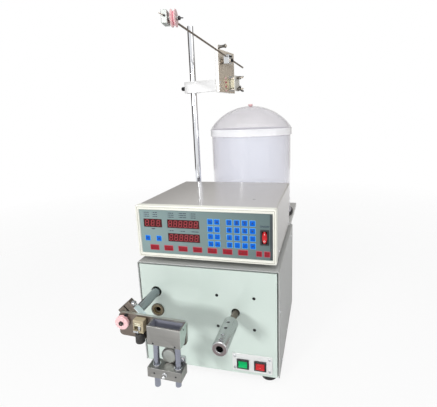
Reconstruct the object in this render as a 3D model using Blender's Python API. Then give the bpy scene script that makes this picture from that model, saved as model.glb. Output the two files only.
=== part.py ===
# Coil winding machine: a cabinet with a spindle and a wire traverse, a counter box
# on top of it, a wire tensioner on a post and a covered wire bucket on a rear shelf.
# Metres, +Z up. The origin is the middle of the cabinet's underside, the front faces -Y.
import math

import bmesh
import bpy
from mathutils import Matrix

# Fits
GAP = 0.0003                  # clearance between pieces that meet
RUNNING = 0.00008             # radial clearance of a shaft in its bore
SEGMENTS = 32                 # sides of a large round piece
SMALL_SEGMENTS = 16           # sides of a small one
BUCKET_SEGMENTS = 48
ROD_SEGMENTS = 24

# Cabinet
CABINET_WIDTH = 0.300
CABINET_DEPTH = 0.310
CABINET_HEIGHT = 0.236
COVER_SHEET = 0.0025
COVER_CORNER = 0.004
PANEL_SHEET = 0.005
PANEL_REVEAL = 0.0022         # dark joint between the front panel and the cover
REAR_SHEET = 0.002
BASE_SHEET = 0.004
BASE_FLANGE = 0.020
BASE_FLANGE_SHEET = 0.002
FOOT_RADIUS = 0.015
FOOT_HEIGHT = 0.012
FOOT_INSET_X = 0.024
FOOT_INSET_Y = 0.022
VENT_LENGTH = 0.030
VENT_WIDTH = 0.004
VENT_PITCH = 0.010
VENT_COUNT = 9
INLET_X = CABINET_WIDTH / 2 - 0.050
INLET_Z = 0.046
INLET_WIDTH = 0.028
INLET_HEIGHT = 0.021

# Spindle
SPINDLE_X = 0.061
SPINDLE_Z = 0.140
SPINDLE_RADIUS = 0.0065
SPINDLE_PANEL_HOLE = 0.009
SPINDLE_REACH = 0.116         # holder's end face in front of the front panel
HOLDER_LENGTH = 0.080
HOLDER_RADIUS = 0.01425
HOLDER_BORE_RADIUS = 0.006
HOLDER_BORE_DEPTH = 0.050
HOLDER_SHAFT_DEPTH = 0.025
HOLDER_SCREW_RADIUS = 0.0025
HOLDER_SCREWS = (0.0086, 0.022, 0.043, 0.061)   # from the end face
FIXING_SPACING_X = 0.0766
FIXING_SPACING_Z = 0.0698
FIXING_RADIUS = 0.0034
HOUSING_RADIUS = 0.021
HOUSING_FLANGE_RADIUS = 0.030
HOUSING_FLANGE = 0.008
HOUSING_LENGTH = 0.075
BEARING_PLATE_Y = 0.010
BEARING_PLATE_SHEET = 0.008
BEARING_PLATE_TOP = 0.200
BEARING_PLATE_LEFT = -CABINET_WIDTH / 2 + 0.012
BEARING_PLATE_RIGHT = CABINET_WIDTH / 2 - 0.038
SPINDLE_PULLEY_RADIUS = 0.025
MOTOR_PULLEY_RADIUS = 0.015
PULLEY_WIDTH = 0.014
PULLEY_FLANGE = 0.0015
BELT_THICKNESS = 0.0025
BELT_WIDTH = 0.0095
MOTOR_X = 0.040
MOTOR_Z = 0.052
MOTOR_RADIUS = 0.036
MOTOR_LENGTH = 0.090
MOTOR_SHAFT_RADIUS = 0.004
MOTOR_SHAFT_DEPTH = 0.020

# Traverse
TRAVERSE_X = -CABINET_WIDTH / 2 + 0.039
TRAVERSE_Z = 0.1705
TRAVERSE_RADIUS = 0.009
TRAVERSE_PANEL_HOLE = 0.0115
TRAVERSE_REACH = 0.0947       # shaft's front end in front of the front panel, at rest
TRAVERSE_TAIL = 0.080         # shaft's rear end, at rest
TRAVERSE_OUT = 0.060          # travel towards the front
BUSH_RADIUS = 0.015
BUSH_FLANGE_RADIUS = 0.021
BUSH_FLANGE = 0.005
BUSH_LENGTH = 0.0295
LOWER_BUSH_Z = 0.128
LOWER_BUSH_RADIUS = 0.0145
LOWER_BUSH_BODY_RADIUS = 0.0115
LOWER_BUSH_BORE = 0.0085
LOWER_BUSH_RING = 0.003
LOWER_BUSH_LENGTH = 0.030
SCREW_X = TRAVERSE_X + 0.045
SCREW_RADIUS = 0.005
CARRIAGE_THICKNESS = 0.020
CARRIAGE_Y = -0.048
CARRIAGE_MARGIN = 0.012
STEPPER_SIZE = 0.042
STEPPER_LENGTH = 0.040
STEPPER_BORE_DEPTH = 0.015

# Start and stop switches
PLATE_X = CABINET_WIDTH / 2 - 0.0566
PLATE_Z = 0.0273
PLATE_WIDTH = 0.0845
PLATE_HEIGHT = 0.0408
PLATE_SHEET = 0.0015
START_X = PLATE_X - 0.0197
STOP_X = PLATE_X + 0.0167
SWITCH_Z = 0.0235
SWITCH_WIDTH = 0.0255
SWITCH_HEIGHT = 0.0218
SWITCH_RIM = 0.002            # how far a switch's rim overhangs its opening
SWITCH_RIM_DEPTH = 0.002
SWITCH_DEPTH = 0.028
POCKET_WALL = 0.0022          # wall of a switch's rim round its rocker
POCKET_DEPTH = 0.011
ROCKER_PLAY = 0.0004
ROCKER_TILT = math.radians(8)

# Counter box
BOX_X = -0.0025
BOX_FRONT_Y = -0.145
BOX_WIDTH = 0.292
BOX_DEPTH = 0.274
BOX_HEIGHT = 0.112
BOX_FEET = 0.008
BOX_FOOT_RADIUS = 0.009
BOX_SHEET = 0.0015
BOX_STEP = 0.001              # how far the bezel stands proud of the case
BEZEL_DEPTH = 0.014
BEZEL_CORNER = 0.003
BEZEL_SIDE = 0.0075
BEZEL_BOTTOM = 0.0086
BEZEL_TOP = 0.0095
BEZEL_GROOVE = 0.0012
KEY_PANEL_RECESS = 0.0025
KEY_PANEL_SHEET = 0.003
KEY_RISE = 0.0005
KEY_SIZE = 0.0122
KEY_PITCH = 0.0155
WIDE_KEY = 0.0205
WINDOW_HEIGHT = 0.0180
SMALL_WINDOW_WIDTH = 0.0411
LARGE_WINDOW_WIDTH = 0.0690
SMALL_WINDOW_X = BOX_X - 0.3757 * BOX_WIDTH
LARGE_WINDOW_X = BOX_X - 0.1473 * BOX_WIDTH
UPPER_WINDOW_Z = 0.6616 * BOX_HEIGHT    # above the underside of the counter box
LOWER_WINDOW_Z = 0.4018 * BOX_HEIGHT
BOARD_SHEET = 0.0016
BOARD_Y = -0.1285
POWER_X = BOX_X + 0.4205 * BOX_WIDTH
POWER_Z = 0.4920 * BOX_HEIGHT
POWER_WIDTH = 0.0167
POWER_HEIGHT = 0.0312

# Wire guide, in a frame on the traverse shaft's axis that is turned by GUIDE_ROLL
GUIDE_ROLL = math.radians(2.5)
CLAMP_TURN = math.radians(45)
CLAMP_LENGTH = 0.042
CLAMP_WIDTH = 0.031
CLAMP_THICKNESS = 0.015
CLAMP_OFFSET = 0.006          # bore's distance from the middle of the block's length
CLAMP_SHIFT = 0.0015          # how far the bore is off the middle of its width
CLAMP_SLOT = 0.0025
GUIDE_PLATE_THICKNESS = 0.007
GUIDE_PLATE_LEFT = -0.025
GUIDE_PLATE_RIGHT = 0.1085
GUIDE_PLATE_TOP = 0.009
GUIDE_PLATE_BOTTOM = -0.038
GUIDE_PLATE_CORNER = 0.007
GUIDE_PULLEY_X = -0.0165
GUIDE_PULLEY_Z = -0.0090
GUIDE_PULLEY_RADIUS = 0.0132
GUIDE_PULLEY_GROOVE = 0.0100
GUIDE_PULLEY_WIDTH = 0.0064
GUIDE_AXLE_RADIUS = 0.003
FELT_BLOCK_LEFT = 0.0110
FELT_BLOCK_RIGHT = 0.0315
FELT_BLOCK_TOP = 0.0065
FELT_BLOCK_BOTTOM = -0.0185
FELT_BLOCK_WALL = 0.0030
FELT_BLOCK_DEPTH = 0.013
KNOB_RADIUS = 0.0086
KNOB_HEIGHT = 0.019
KNOB_STEM_RADIUS = 0.0025
TROUGH_LEFT = 0.046
TROUGH_RIGHT = 0.1085
TROUGH_TOP = 0.0105
TROUGH_BOTTOM = -0.0255
TROUGH_DEPTH = 0.028
TROUGH_BEVEL = 0.013
TROUGH_WALL = 0.0035
TROUGH_POCKET = 0.016
ROD_RADIUS = 0.0054
ROD_LEFT_X = 0.0568
ROD_RIGHT_X = 0.0978
ROD_OFFSET = 0.0160           # rods' axes in front of the guide plate
ROD_SEAT = 0.008              # how far the rods enter the trough block
ROD_LEFT_BOTTOM = -0.1190
ROD_RIGHT_BOTTOM = -0.1100     # the right rod is the shorter one
LOWER_BLOCK_LEFT = 0.0435
LOWER_BLOCK_TOP = -0.0730
LOWER_BLOCK_HEIGHT = 0.0195
LOWER_BLOCK_DEPTH = 0.0275
BOSS_RADIUS = 0.0150
BOSS_THICKNESS = 0.008

# Post and tensioner, in a frame on the post's axis that is turned by BRACKET_TURN
POST_X = -CABINET_WIDTH / 2 + 0.0272
POST_Y = 0.170
POST_RADIUS = 0.008
POST_TOP = 0.7644
POST_FLANGE_RADIUS = 0.0185
POST_FLANGE = 0.006
POST_NECK_RADIUS = 0.0135
POST_NECK = 0.024
BRACKET_TURN = math.radians(-14)
BAR_Z = 0.6092
BAR_HEIGHT = 0.030
BAR_LEFT = -0.022
BAR_BLOCK_RIGHT = 0.015
BAR_BLOCK_DEPTH = 0.023
BAR_DEPTH = 0.012
TENSION_PLATE_X = 0.0783
TENSION_PLATE_THICKNESS = 0.0095
TENSION_PLATE_FRONT = -0.0100
TENSION_PLATE_BACK = 0.0760
TENSION_PLATE_BOTTOM = 0.5915
TENSION_PLATE_TOP = 0.6975
TENSION_PLATE_SLOPE = 0.001   # fall of the top edge towards the back
EYELET_Y = 0.0270
EYELET_RADIUS = 0.0022
EYELET_COUNT = 4
EYELET_PITCH = 0.0105
ROLLER_LUG = 0.009
ROLLER_LENGTH = 0.020
ROLLER_RADIUS = 0.0050
ROLLER_WAIST = 0.0034
ROLLER_PIN_RADIUS = 0.0016
ROLLER_Y = -0.0050
ROLLER_Z = 0.7020
PIVOT_Y = 0.0121
PIVOT_Z = 0.669
PIVOT_RADIUS = 0.003
HUB_GAP = 0.0072              # room for the spring between the plate and the hub
HUB_SIZE = 0.016
HUB_TOP = 0.014
ARM_RADIUS = 0.002
ARM_RISE = math.radians(10.3)
ARM_OFFSET = 0.0087           # rod's height above the pivot
ARM_FRONT = 0.248
ARM_BACK = 0.088
SPRING_WIRE = 0.0010
SPRING_RADIUS = 0.0058
SPRING_PITCH = 0.0016
SPRING_TURNS = 3
TIP_TURN = math.radians(10)
TIP_WIDTH = 0.0118
TIP_DEPTH = 0.026
TIP_HEIGHT = 0.0240
TIP_ROD_DEPTH = 0.012
TIP_SHIFT = 0.0030             # block's middle from the rod's line
TIP_AXLE_Y = 0.004
TIP_NECK = 0.004               # bare axle between the block and the pulley
TIP_PULLEY_RADIUS = 0.0165
TIP_PULLEY_GROOVE = 0.0120
TIP_PULLEY_WIDTH = 0.0105
TIP_AXLE_RADIUS = 0.0025
STUD_Y = 0.057
STUD_UPPER_Z = 0.6305
STUD_LOWER_Z = 0.6015
STUD_RADIUS = 0.002
STUD_LENGTH = 0.036
FELT_WIDTH = 0.016
FELT_HEIGHT = 0.0235
FELT_THICKNESS = 0.0150
PRESS_WIDTH = 0.028
PRESS_HEIGHT = 0.040
PRESS_SHEET = 0.0025
WING_OFFSET = 0.022           # wing nut's inner face from the tension plate
WING_HUB_RADIUS = 0.0045
WING_HUB_LENGTH = 0.007
WING_SPAN = 0.024
WING_THICKNESS = 0.0022
WING_HEIGHT = 0.011

# Shelf and wire bucket
SHELF_HALF_WIDTH = CABINET_WIDTH / 2 - 0.006
SHELF_FRONT = 0.1315
SHELF_BACK = 0.382
SHELF_SHEET = 0.003
SHELF_LIP = 0.012
SHELF_LIP_SHEET = 0.002
GUSSET_X = CABINET_WIDTH / 2 - 0.040
GUSSET_SHEET = 0.003
GUSSET_REACH = 0.150
GUSSET_DROP = 0.110
BUCKET_X = 0.018
BUCKET_Y = 0.257
BUCKET_BASE_RADIUS = 0.124
BUCKET_BASE_HEIGHT = 0.008
BUCKET_RADIUS = 0.1155
BUCKET_WALL = 0.003
BUCKET_TOP = 0.4922
LID_RADIUS = 0.1180
LID_SKIRT_BOTTOM = 0.4734
LID_SHOULDER = 0.4950
LID_APEX = 0.5570
LID_WALL = 0.0022
EYE_RADIUS = 0.0062
EYE_RISE = 0.0055
EYE_BORE = 0.003

# Places that follow from the sizes above
FRONT_Y = -CABINET_DEPTH / 2
BACK_Y = CABINET_DEPTH / 2
PANEL_BACK_Y = FRONT_Y + PANEL_SHEET
INNER_HALF = CABINET_WIDTH / 2 - COVER_SHEET - GAP
FLOOR_Z = BASE_SHEET + GAP
HOLDER_FRONT_Y = FRONT_Y - SPINDLE_REACH
HOLDER_BACK_Y = HOLDER_FRONT_Y + HOLDER_LENGTH
DRIVE_Y = BEARING_PLATE_Y + BEARING_PLATE_SHEET + 0.004
BOX_Z = CABINET_HEIGHT + BOX_FEET
GUIDE_PLATE_BACK_Y = FRONT_Y - TRAVERSE_REACH - 2 * GAP
GUIDE_PLATE_FRONT_Y = GUIDE_PLATE_BACK_Y - GUIDE_PLATE_THICKNESS
GUIDE_FACE_Y = GUIDE_PLATE_FRONT_Y - GAP
ROD_Y = GUIDE_FACE_Y - ROD_OFFSET
TENSION_FACE_X = TENSION_PLATE_X + TENSION_PLATE_THICKNESS
HUB_X = TENSION_FACE_X + HUB_GAP + HUB_SIZE / 2
SHELF_Z = CABINET_HEIGHT + GAP
SHELF_TOP = SHELF_Z + SHELF_SHEET

for old in list(bpy.data.objects):
    bpy.data.objects.remove(old, do_unlink=True)


def material(name, colour, roughness, metallic=0.0):
    made = bpy.data.materials.new(name)
    made.use_nodes = True
    shader = made.node_tree.nodes["Principled BSDF"]
    shader.inputs["Base Color"].default_value = (*colour, 1.0)
    shader.inputs["Roughness"].default_value = roughness
    shader.inputs["Metallic"].default_value = metallic
    made.diffuse_color = (*colour, 1.0)
    return made


GREEN_PAINT = material("green_paint", (0.62, 0.71, 0.65), 0.45)
GREY_PAINT = material("grey_paint", (0.40, 0.41, 0.40), 0.5)
BOX_PAINT = material("box_paint", (0.62, 0.60, 0.57), 0.4)
CREAM_PLASTIC = material("cream_plastic", (0.83, 0.83, 0.76), 0.4)
PANEL_FILM = material("panel_film", (0.24, 0.33, 0.33), 0.4)
BOARD_GREEN = material("board_green", (0.03, 0.20, 0.08), 0.5)
BRIGHT_STEEL = material("bright_steel", (0.65, 0.66, 0.67), 0.25, 1.0)
GREY_STEEL = material("grey_steel", (0.30, 0.33, 0.36), 0.35, 1.0)
CHROME = material("chrome", (0.80, 0.81, 0.83), 0.08, 1.0)
ALUMINIUM = material("aluminium", (0.62, 0.61, 0.60), 0.38, 1.0)
BRONZE = material("bronze", (0.42, 0.34, 0.20), 0.4, 1.0)
BLACK_RUBBER = material("black_rubber", (0.02, 0.02, 0.02), 0.8)
BLACK_PLASTIC = material("black_plastic", (0.03, 0.03, 0.03), 0.45)
GREEN_PLASTIC = material("green_plastic", (0.02, 0.45, 0.20), 0.3)
RED_PLASTIC = material("red_plastic", (0.65, 0.05, 0.04), 0.3)
PINK_CERAMIC = material("pink_ceramic", (0.85, 0.55, 0.56), 0.25)
BEIGE_PLASTIC = material("beige_plastic", (0.62, 0.54, 0.38), 0.5)
FELT = material("felt", (0.85, 0.82, 0.68), 0.95)
CLEAR_PLASTIC = material("clear_plastic", (0.80, 0.79, 0.86), 0.3)


def frame(name, place, turn=(0.0, 0.0, 0.0), parent=None):
    empty = bpy.data.objects.new(name, None)
    empty.location = place
    empty.rotation_euler = turn
    empty.parent = parent
    bpy.context.scene.collection.objects.link(empty)
    return empty


def piece(name, mesh, finish=None, place=(0.0, 0.0, 0.0), turn=(0.0, 0.0, 0.0), parent=None, smooth=True):
    bmesh.ops.recalc_face_normals(mesh, faces=mesh.faces)
    data = bpy.data.meshes.new(name)
    mesh.to_mesh(data)
    mesh.free()
    if smooth:
        data.shade_smooth()
        data.set_sharp_from_angle(angle=math.radians(35))
    if finish:
        data.materials.append(finish)
    made = bpy.data.objects.new(name, data)
    made.location = place
    made.rotation_euler = turn
    made.parent = parent
    bpy.context.scene.collection.objects.link(made)
    return made


def combine(target, tool, operation):
    tool.hide_render = True
    tool.display_type = "WIRE"
    tool.parent = target.parent
    change = target.modifiers.new(tool.name, "BOOLEAN")
    change.operation = operation
    change.object = tool
    return target


def cut(target, mesh, label="cut", place=(0.0, 0.0, 0.0), turn=(0.0, 0.0, 0.0)):
    return combine(target, piece(target.name + "_" + label, mesh, None, place, turn), "DIFFERENCE")


def add(target, mesh, label="add", place=(0.0, 0.0, 0.0), turn=(0.0, 0.0, 0.0)):
    return combine(target, piece(target.name + "_" + label, mesh, None, place, turn), "UNION")


def soften(target, width, segments=1):
    rounding = target.modifiers.new("edges", "BEVEL")
    rounding.width = width
    rounding.segments = segments
    rounding.limit_method = "ANGLE"
    return target


def turn_onto(mesh, axis):
    # The mesh was made along Z and now lies along the named axis.
    if axis == "X":
        bmesh.ops.rotate(mesh, verts=mesh.verts, matrix=Matrix.Rotation(math.pi / 2, 3, "Y"))
    if axis == "Y":
        bmesh.ops.rotate(mesh, verts=mesh.verts, matrix=Matrix.Rotation(-math.pi / 2, 3, "X"))
    return mesh


def box(*boxes):
    # Each box is ((low x, high x), (low y, high y), (low z, high z)).
    mesh = bmesh.new()
    for (x0, x1), (y0, y1), (z0, z1) in boxes:
        size = Matrix.Diagonal((x1 - x0, y1 - y0, z1 - z0, 1.0))
        middle = Matrix.Translation(((x0 + x1) / 2, (y0 + y1) / 2, (z0 + z1) / 2))
        bmesh.ops.create_cube(mesh, size=1.0, matrix=middle @ size)
    return mesh


def rods(places, radius, start, end, axis="Y", segments=SMALL_SEGMENTS):
    # Round rods or drills side by side; a place is given across the axis, in X, Y, Z order.
    mesh = bmesh.new()
    for a, b in places:
        if axis == "X":
            middle, spin = ((start + end) / 2, a, b), Matrix.Rotation(math.pi / 2, 4, "Y")
        elif axis == "Y":
            middle, spin = (a, (start + end) / 2, b), Matrix.Rotation(math.pi / 2, 4, "X")
        else:
            middle, spin = (a, b, (start + end) / 2), Matrix.Identity(4)
        bmesh.ops.create_cone(mesh, cap_ends=True, segments=segments, radius1=radius, radius2=radius,
                              depth=end - start, matrix=Matrix.Translation(middle) @ spin)
    return mesh


def turned(profile, axis="Y", segments=SEGMENTS):
    # Profile points are (radius, distance along the axis). A profile that starts and ends on
    # the axis makes a solid bar, and one that stays off it makes a closed ring.
    mesh = bmesh.new()
    angles = [2 * math.pi * step / segments for step in range(segments)]
    solid = profile[0][0] == 0
    rings = []
    for radius, along in (profile[1:-1] if solid else profile):
        rings.append([mesh.verts.new((radius * math.cos(a), radius * math.sin(a), along)) for a in angles])
    pairs = list(zip(rings, rings[1:]))
    if solid:
        mesh.faces.new(rings[0])
        mesh.faces.new(rings[-1])
    else:
        pairs.append((rings[-1], rings[0]))
    for low, high in pairs:
        for i in range(segments):
            j = (i + 1) % segments
            mesh.faces.new((low[i], low[j], high[j], high[i]))
    return turn_onto(mesh, axis)


def bar(radius, start, end, chamfer=0.0, axis="Y", segments=SEGMENTS):
    return turned([(0, start), (radius - chamfer, start), (radius, start + chamfer), (radius, end - chamfer),
                   (radius - chamfer, end), (0, end)] if chamfer else
                  [(0, start), (radius, start), (radius, end), (0, end)], axis, segments)


def extruded(outline, start, end, axis="Y"):
    # Outline points lie across the axis: (y, z) for X, (x, z) for Y and (x, y) for Z.
    mesh = bmesh.new()

    def corner(a, b, along):
        return mesh.verts.new({"X": (along, a, b), "Y": (a, along, b), "Z": (a, b, along)}[axis])
    near = [corner(a, b, start) for a, b in outline]
    far = [corner(a, b, end) for a, b in outline]
    mesh.faces.new(near)
    mesh.faces.new(far)
    for i, _ in enumerate(outline):
        j = (i + 1) % len(outline)
        mesh.faces.new((near[i], near[j], far[j], far[i]))
    return mesh


def rounded(left, right, bottom, top, radius, steps=3):
    points = []
    corners = ((right - radius, top - radius, 0), (left + radius, top - radius, 90),
               (left + radius, bottom + radius, 180), (right - radius, bottom + radius, 270))
    for x, z, start in corners:
        for step in range(steps + 1):
            angle = math.radians(start + 90 * step / steps)
            points.append((x + radius * math.cos(angle), z + radius * math.sin(angle)))
    return points


def bridged(loops):
    # Closed loops of equally many points, joined in order and the last to the first.
    mesh = bmesh.new()
    rings = [[mesh.verts.new(point) for point in loop] for loop in loops]
    for low, high in zip(rings, rings[1:] + rings[:1]):
        for i, _ in enumerate(low):
            j = (i + 1) % len(low)
            mesh.faces.new((low[i], low[j], high[j], high[i]))
    return mesh


def channel(width, height, sheet, corner, start, end, steps=3):
    # A sheet bent into an upside-down U, with its legs on Z = 0 and running along Y.
    half = width / 2
    outside = [(-half, 0.0)]
    inside = [(-half + sheet, 0.0)]
    for centre, first in ((-half + corner, 180), (half - corner, 90)):
        for step in range(steps + 1):
            angle = math.radians(first - 90 * step / steps)
            across, up = math.cos(angle), math.sin(angle)
            outside.append((centre + corner * across, height - corner + corner * up))
            inside.append((centre + (corner - sheet) * across, height - corner + (corner - sheet) * up))
    outside.append((half, 0.0))
    inside.append((half - sheet, 0.0))
    return extruded(outside + inside[::-1], start, end)


def open_frame(outer, opening, start, end):
    # A flat plate along Y with one opening: both outlines have equally many points.
    return bridged([[(x, start, z) for x, z in outer], [(x, end, z) for x, z in outer],
                    [(x, end, z) for x, z in opening], [(x, start, z) for x, z in opening]])


def cabinet():
    cover = piece("cover_shell", channel(CABINET_WIDTH, CABINET_HEIGHT, COVER_SHEET, COVER_CORNER, FRONT_Y, BACK_Y),
                  GREY_PAINT)
    panel_half = CABINET_WIDTH / 2 - COVER_SHEET - PANEL_REVEAL
    panel_top = CABINET_HEIGHT - COVER_SHEET - PANEL_REVEAL
    panel = piece("front_panel", box(((-panel_half, panel_half), (FRONT_Y, PANEL_BACK_Y), (0.0, panel_top))), GREEN_PAINT)
    holes = [(SPINDLE_X + side * FIXING_SPACING_X / 2, SPINDLE_Z + up * FIXING_SPACING_Z / 2)
             for side in (-1, 1) for up in (-1, 1)]
    beyond = PANEL_SHEET
    cut(panel, rods(holes, FIXING_RADIUS, FRONT_Y - beyond, PANEL_BACK_Y + beyond), "fixings")
    cut(panel, rods([(SPINDLE_X, SPINDLE_Z)], SPINDLE_PANEL_HOLE, FRONT_Y - beyond, PANEL_BACK_Y + beyond,
                    segments=SEGMENTS), "spindle")
    cut(panel, rods([(TRAVERSE_X, TRAVERSE_Z)], TRAVERSE_PANEL_HOLE, FRONT_Y - beyond, PANEL_BACK_Y + beyond,
                    segments=SEGMENTS), "traverse")
    cut(panel, rods([(TRAVERSE_X, LOWER_BUSH_Z)], LOWER_BUSH_BODY_RADIUS + GAP, FRONT_Y - beyond,
                    PANEL_BACK_Y + beyond, segments=SEGMENTS), "lower_bush")
    cut(panel, box(*[switch_opening(x, FRONT_Y - beyond, PANEL_BACK_Y + beyond) for x in (START_X, STOP_X)]),
        "switches")

    back_end = BACK_Y - REAR_SHEET
    pan = [(-INNER_HALF, 0.0), (INNER_HALF, 0.0), (INNER_HALF, BASE_FLANGE),
           (INNER_HALF - BASE_FLANGE_SHEET, BASE_FLANGE), (INNER_HALF - BASE_FLANGE_SHEET, BASE_SHEET),
           (-INNER_HALF + BASE_FLANGE_SHEET, BASE_SHEET), (-INNER_HALF + BASE_FLANGE_SHEET, BASE_FLANGE),
           (-INNER_HALF, BASE_FLANGE)]
    piece("base_plate", extruded(pan, PANEL_BACK_Y + GAP, back_end - GAP), GREY_PAINT)

    rear = piece("rear_panel", extruded(cut_corners(INNER_HALF, CABINET_HEIGHT - COVER_SHEET - GAP, COVER_CORNER / 2),
                                        back_end, BACK_Y), GREY_PAINT)
    vents = [((-0.115 + VENT_PITCH * i, -0.115 + VENT_PITCH * i + VENT_WIDTH), (back_end - 0.002, BACK_Y + 0.002),
              (0.040, 0.040 + VENT_LENGTH)) for i in range(VENT_COUNT)]
    cut(rear, box(*vents), "vents")
    inlet_depth = 0.018
    across = (INLET_X - INLET_WIDTH / 2, INLET_X + INLET_WIDTH / 2)
    upright = (INLET_Z - INLET_HEIGHT / 2, INLET_Z + INLET_HEIGHT / 2)
    add(rear, box((across, (BACK_Y - inlet_depth, BACK_Y + 0.003), upright)), "inlet")
    wall = 0.003
    cut(rear, box(((across[0] + wall, across[1] - wall), (BACK_Y - inlet_depth + wall, BACK_Y + 0.006),
                   (upright[0] + wall, upright[1] - wall))), "inlet_mouth")

    for row, y in (("front", FRONT_Y + FOOT_INSET_Y), ("rear", BACK_Y - FOOT_INSET_Y)):
        for side, sign in (("left", -1), ("right", 1)):
            foot = turned([(0, 0), (FOOT_RADIUS - 0.002, 0), (FOOT_RADIUS, 0.003), (FOOT_RADIUS - 0.001, FOOT_HEIGHT),
                           (0, FOOT_HEIGHT)], "Z", 24)
            piece(f"foot_{row}_{side}", foot, BLACK_RUBBER,
                  (sign * (CABINET_WIDTH / 2 - FOOT_INSET_X), y, -FOOT_HEIGHT - GAP))
    return cover


def cut_corners(half, top, corner):
    # A panel standing on Z = 0 with its two top corners cut off.
    return [(-half, 0.0), (half, 0.0), (half, top - corner), (half - corner, top), (-half + corner, top),
            (-half, top - corner)]


def switch_opening(x, start, end):
    half_width = SWITCH_WIDTH / 2 - SWITCH_RIM + GAP
    half_height = SWITCH_HEIGHT / 2 - SWITCH_RIM + GAP
    return ((x - half_width, x + half_width), (start, end), (SWITCH_Z - half_height, SWITCH_Z + half_height))


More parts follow.
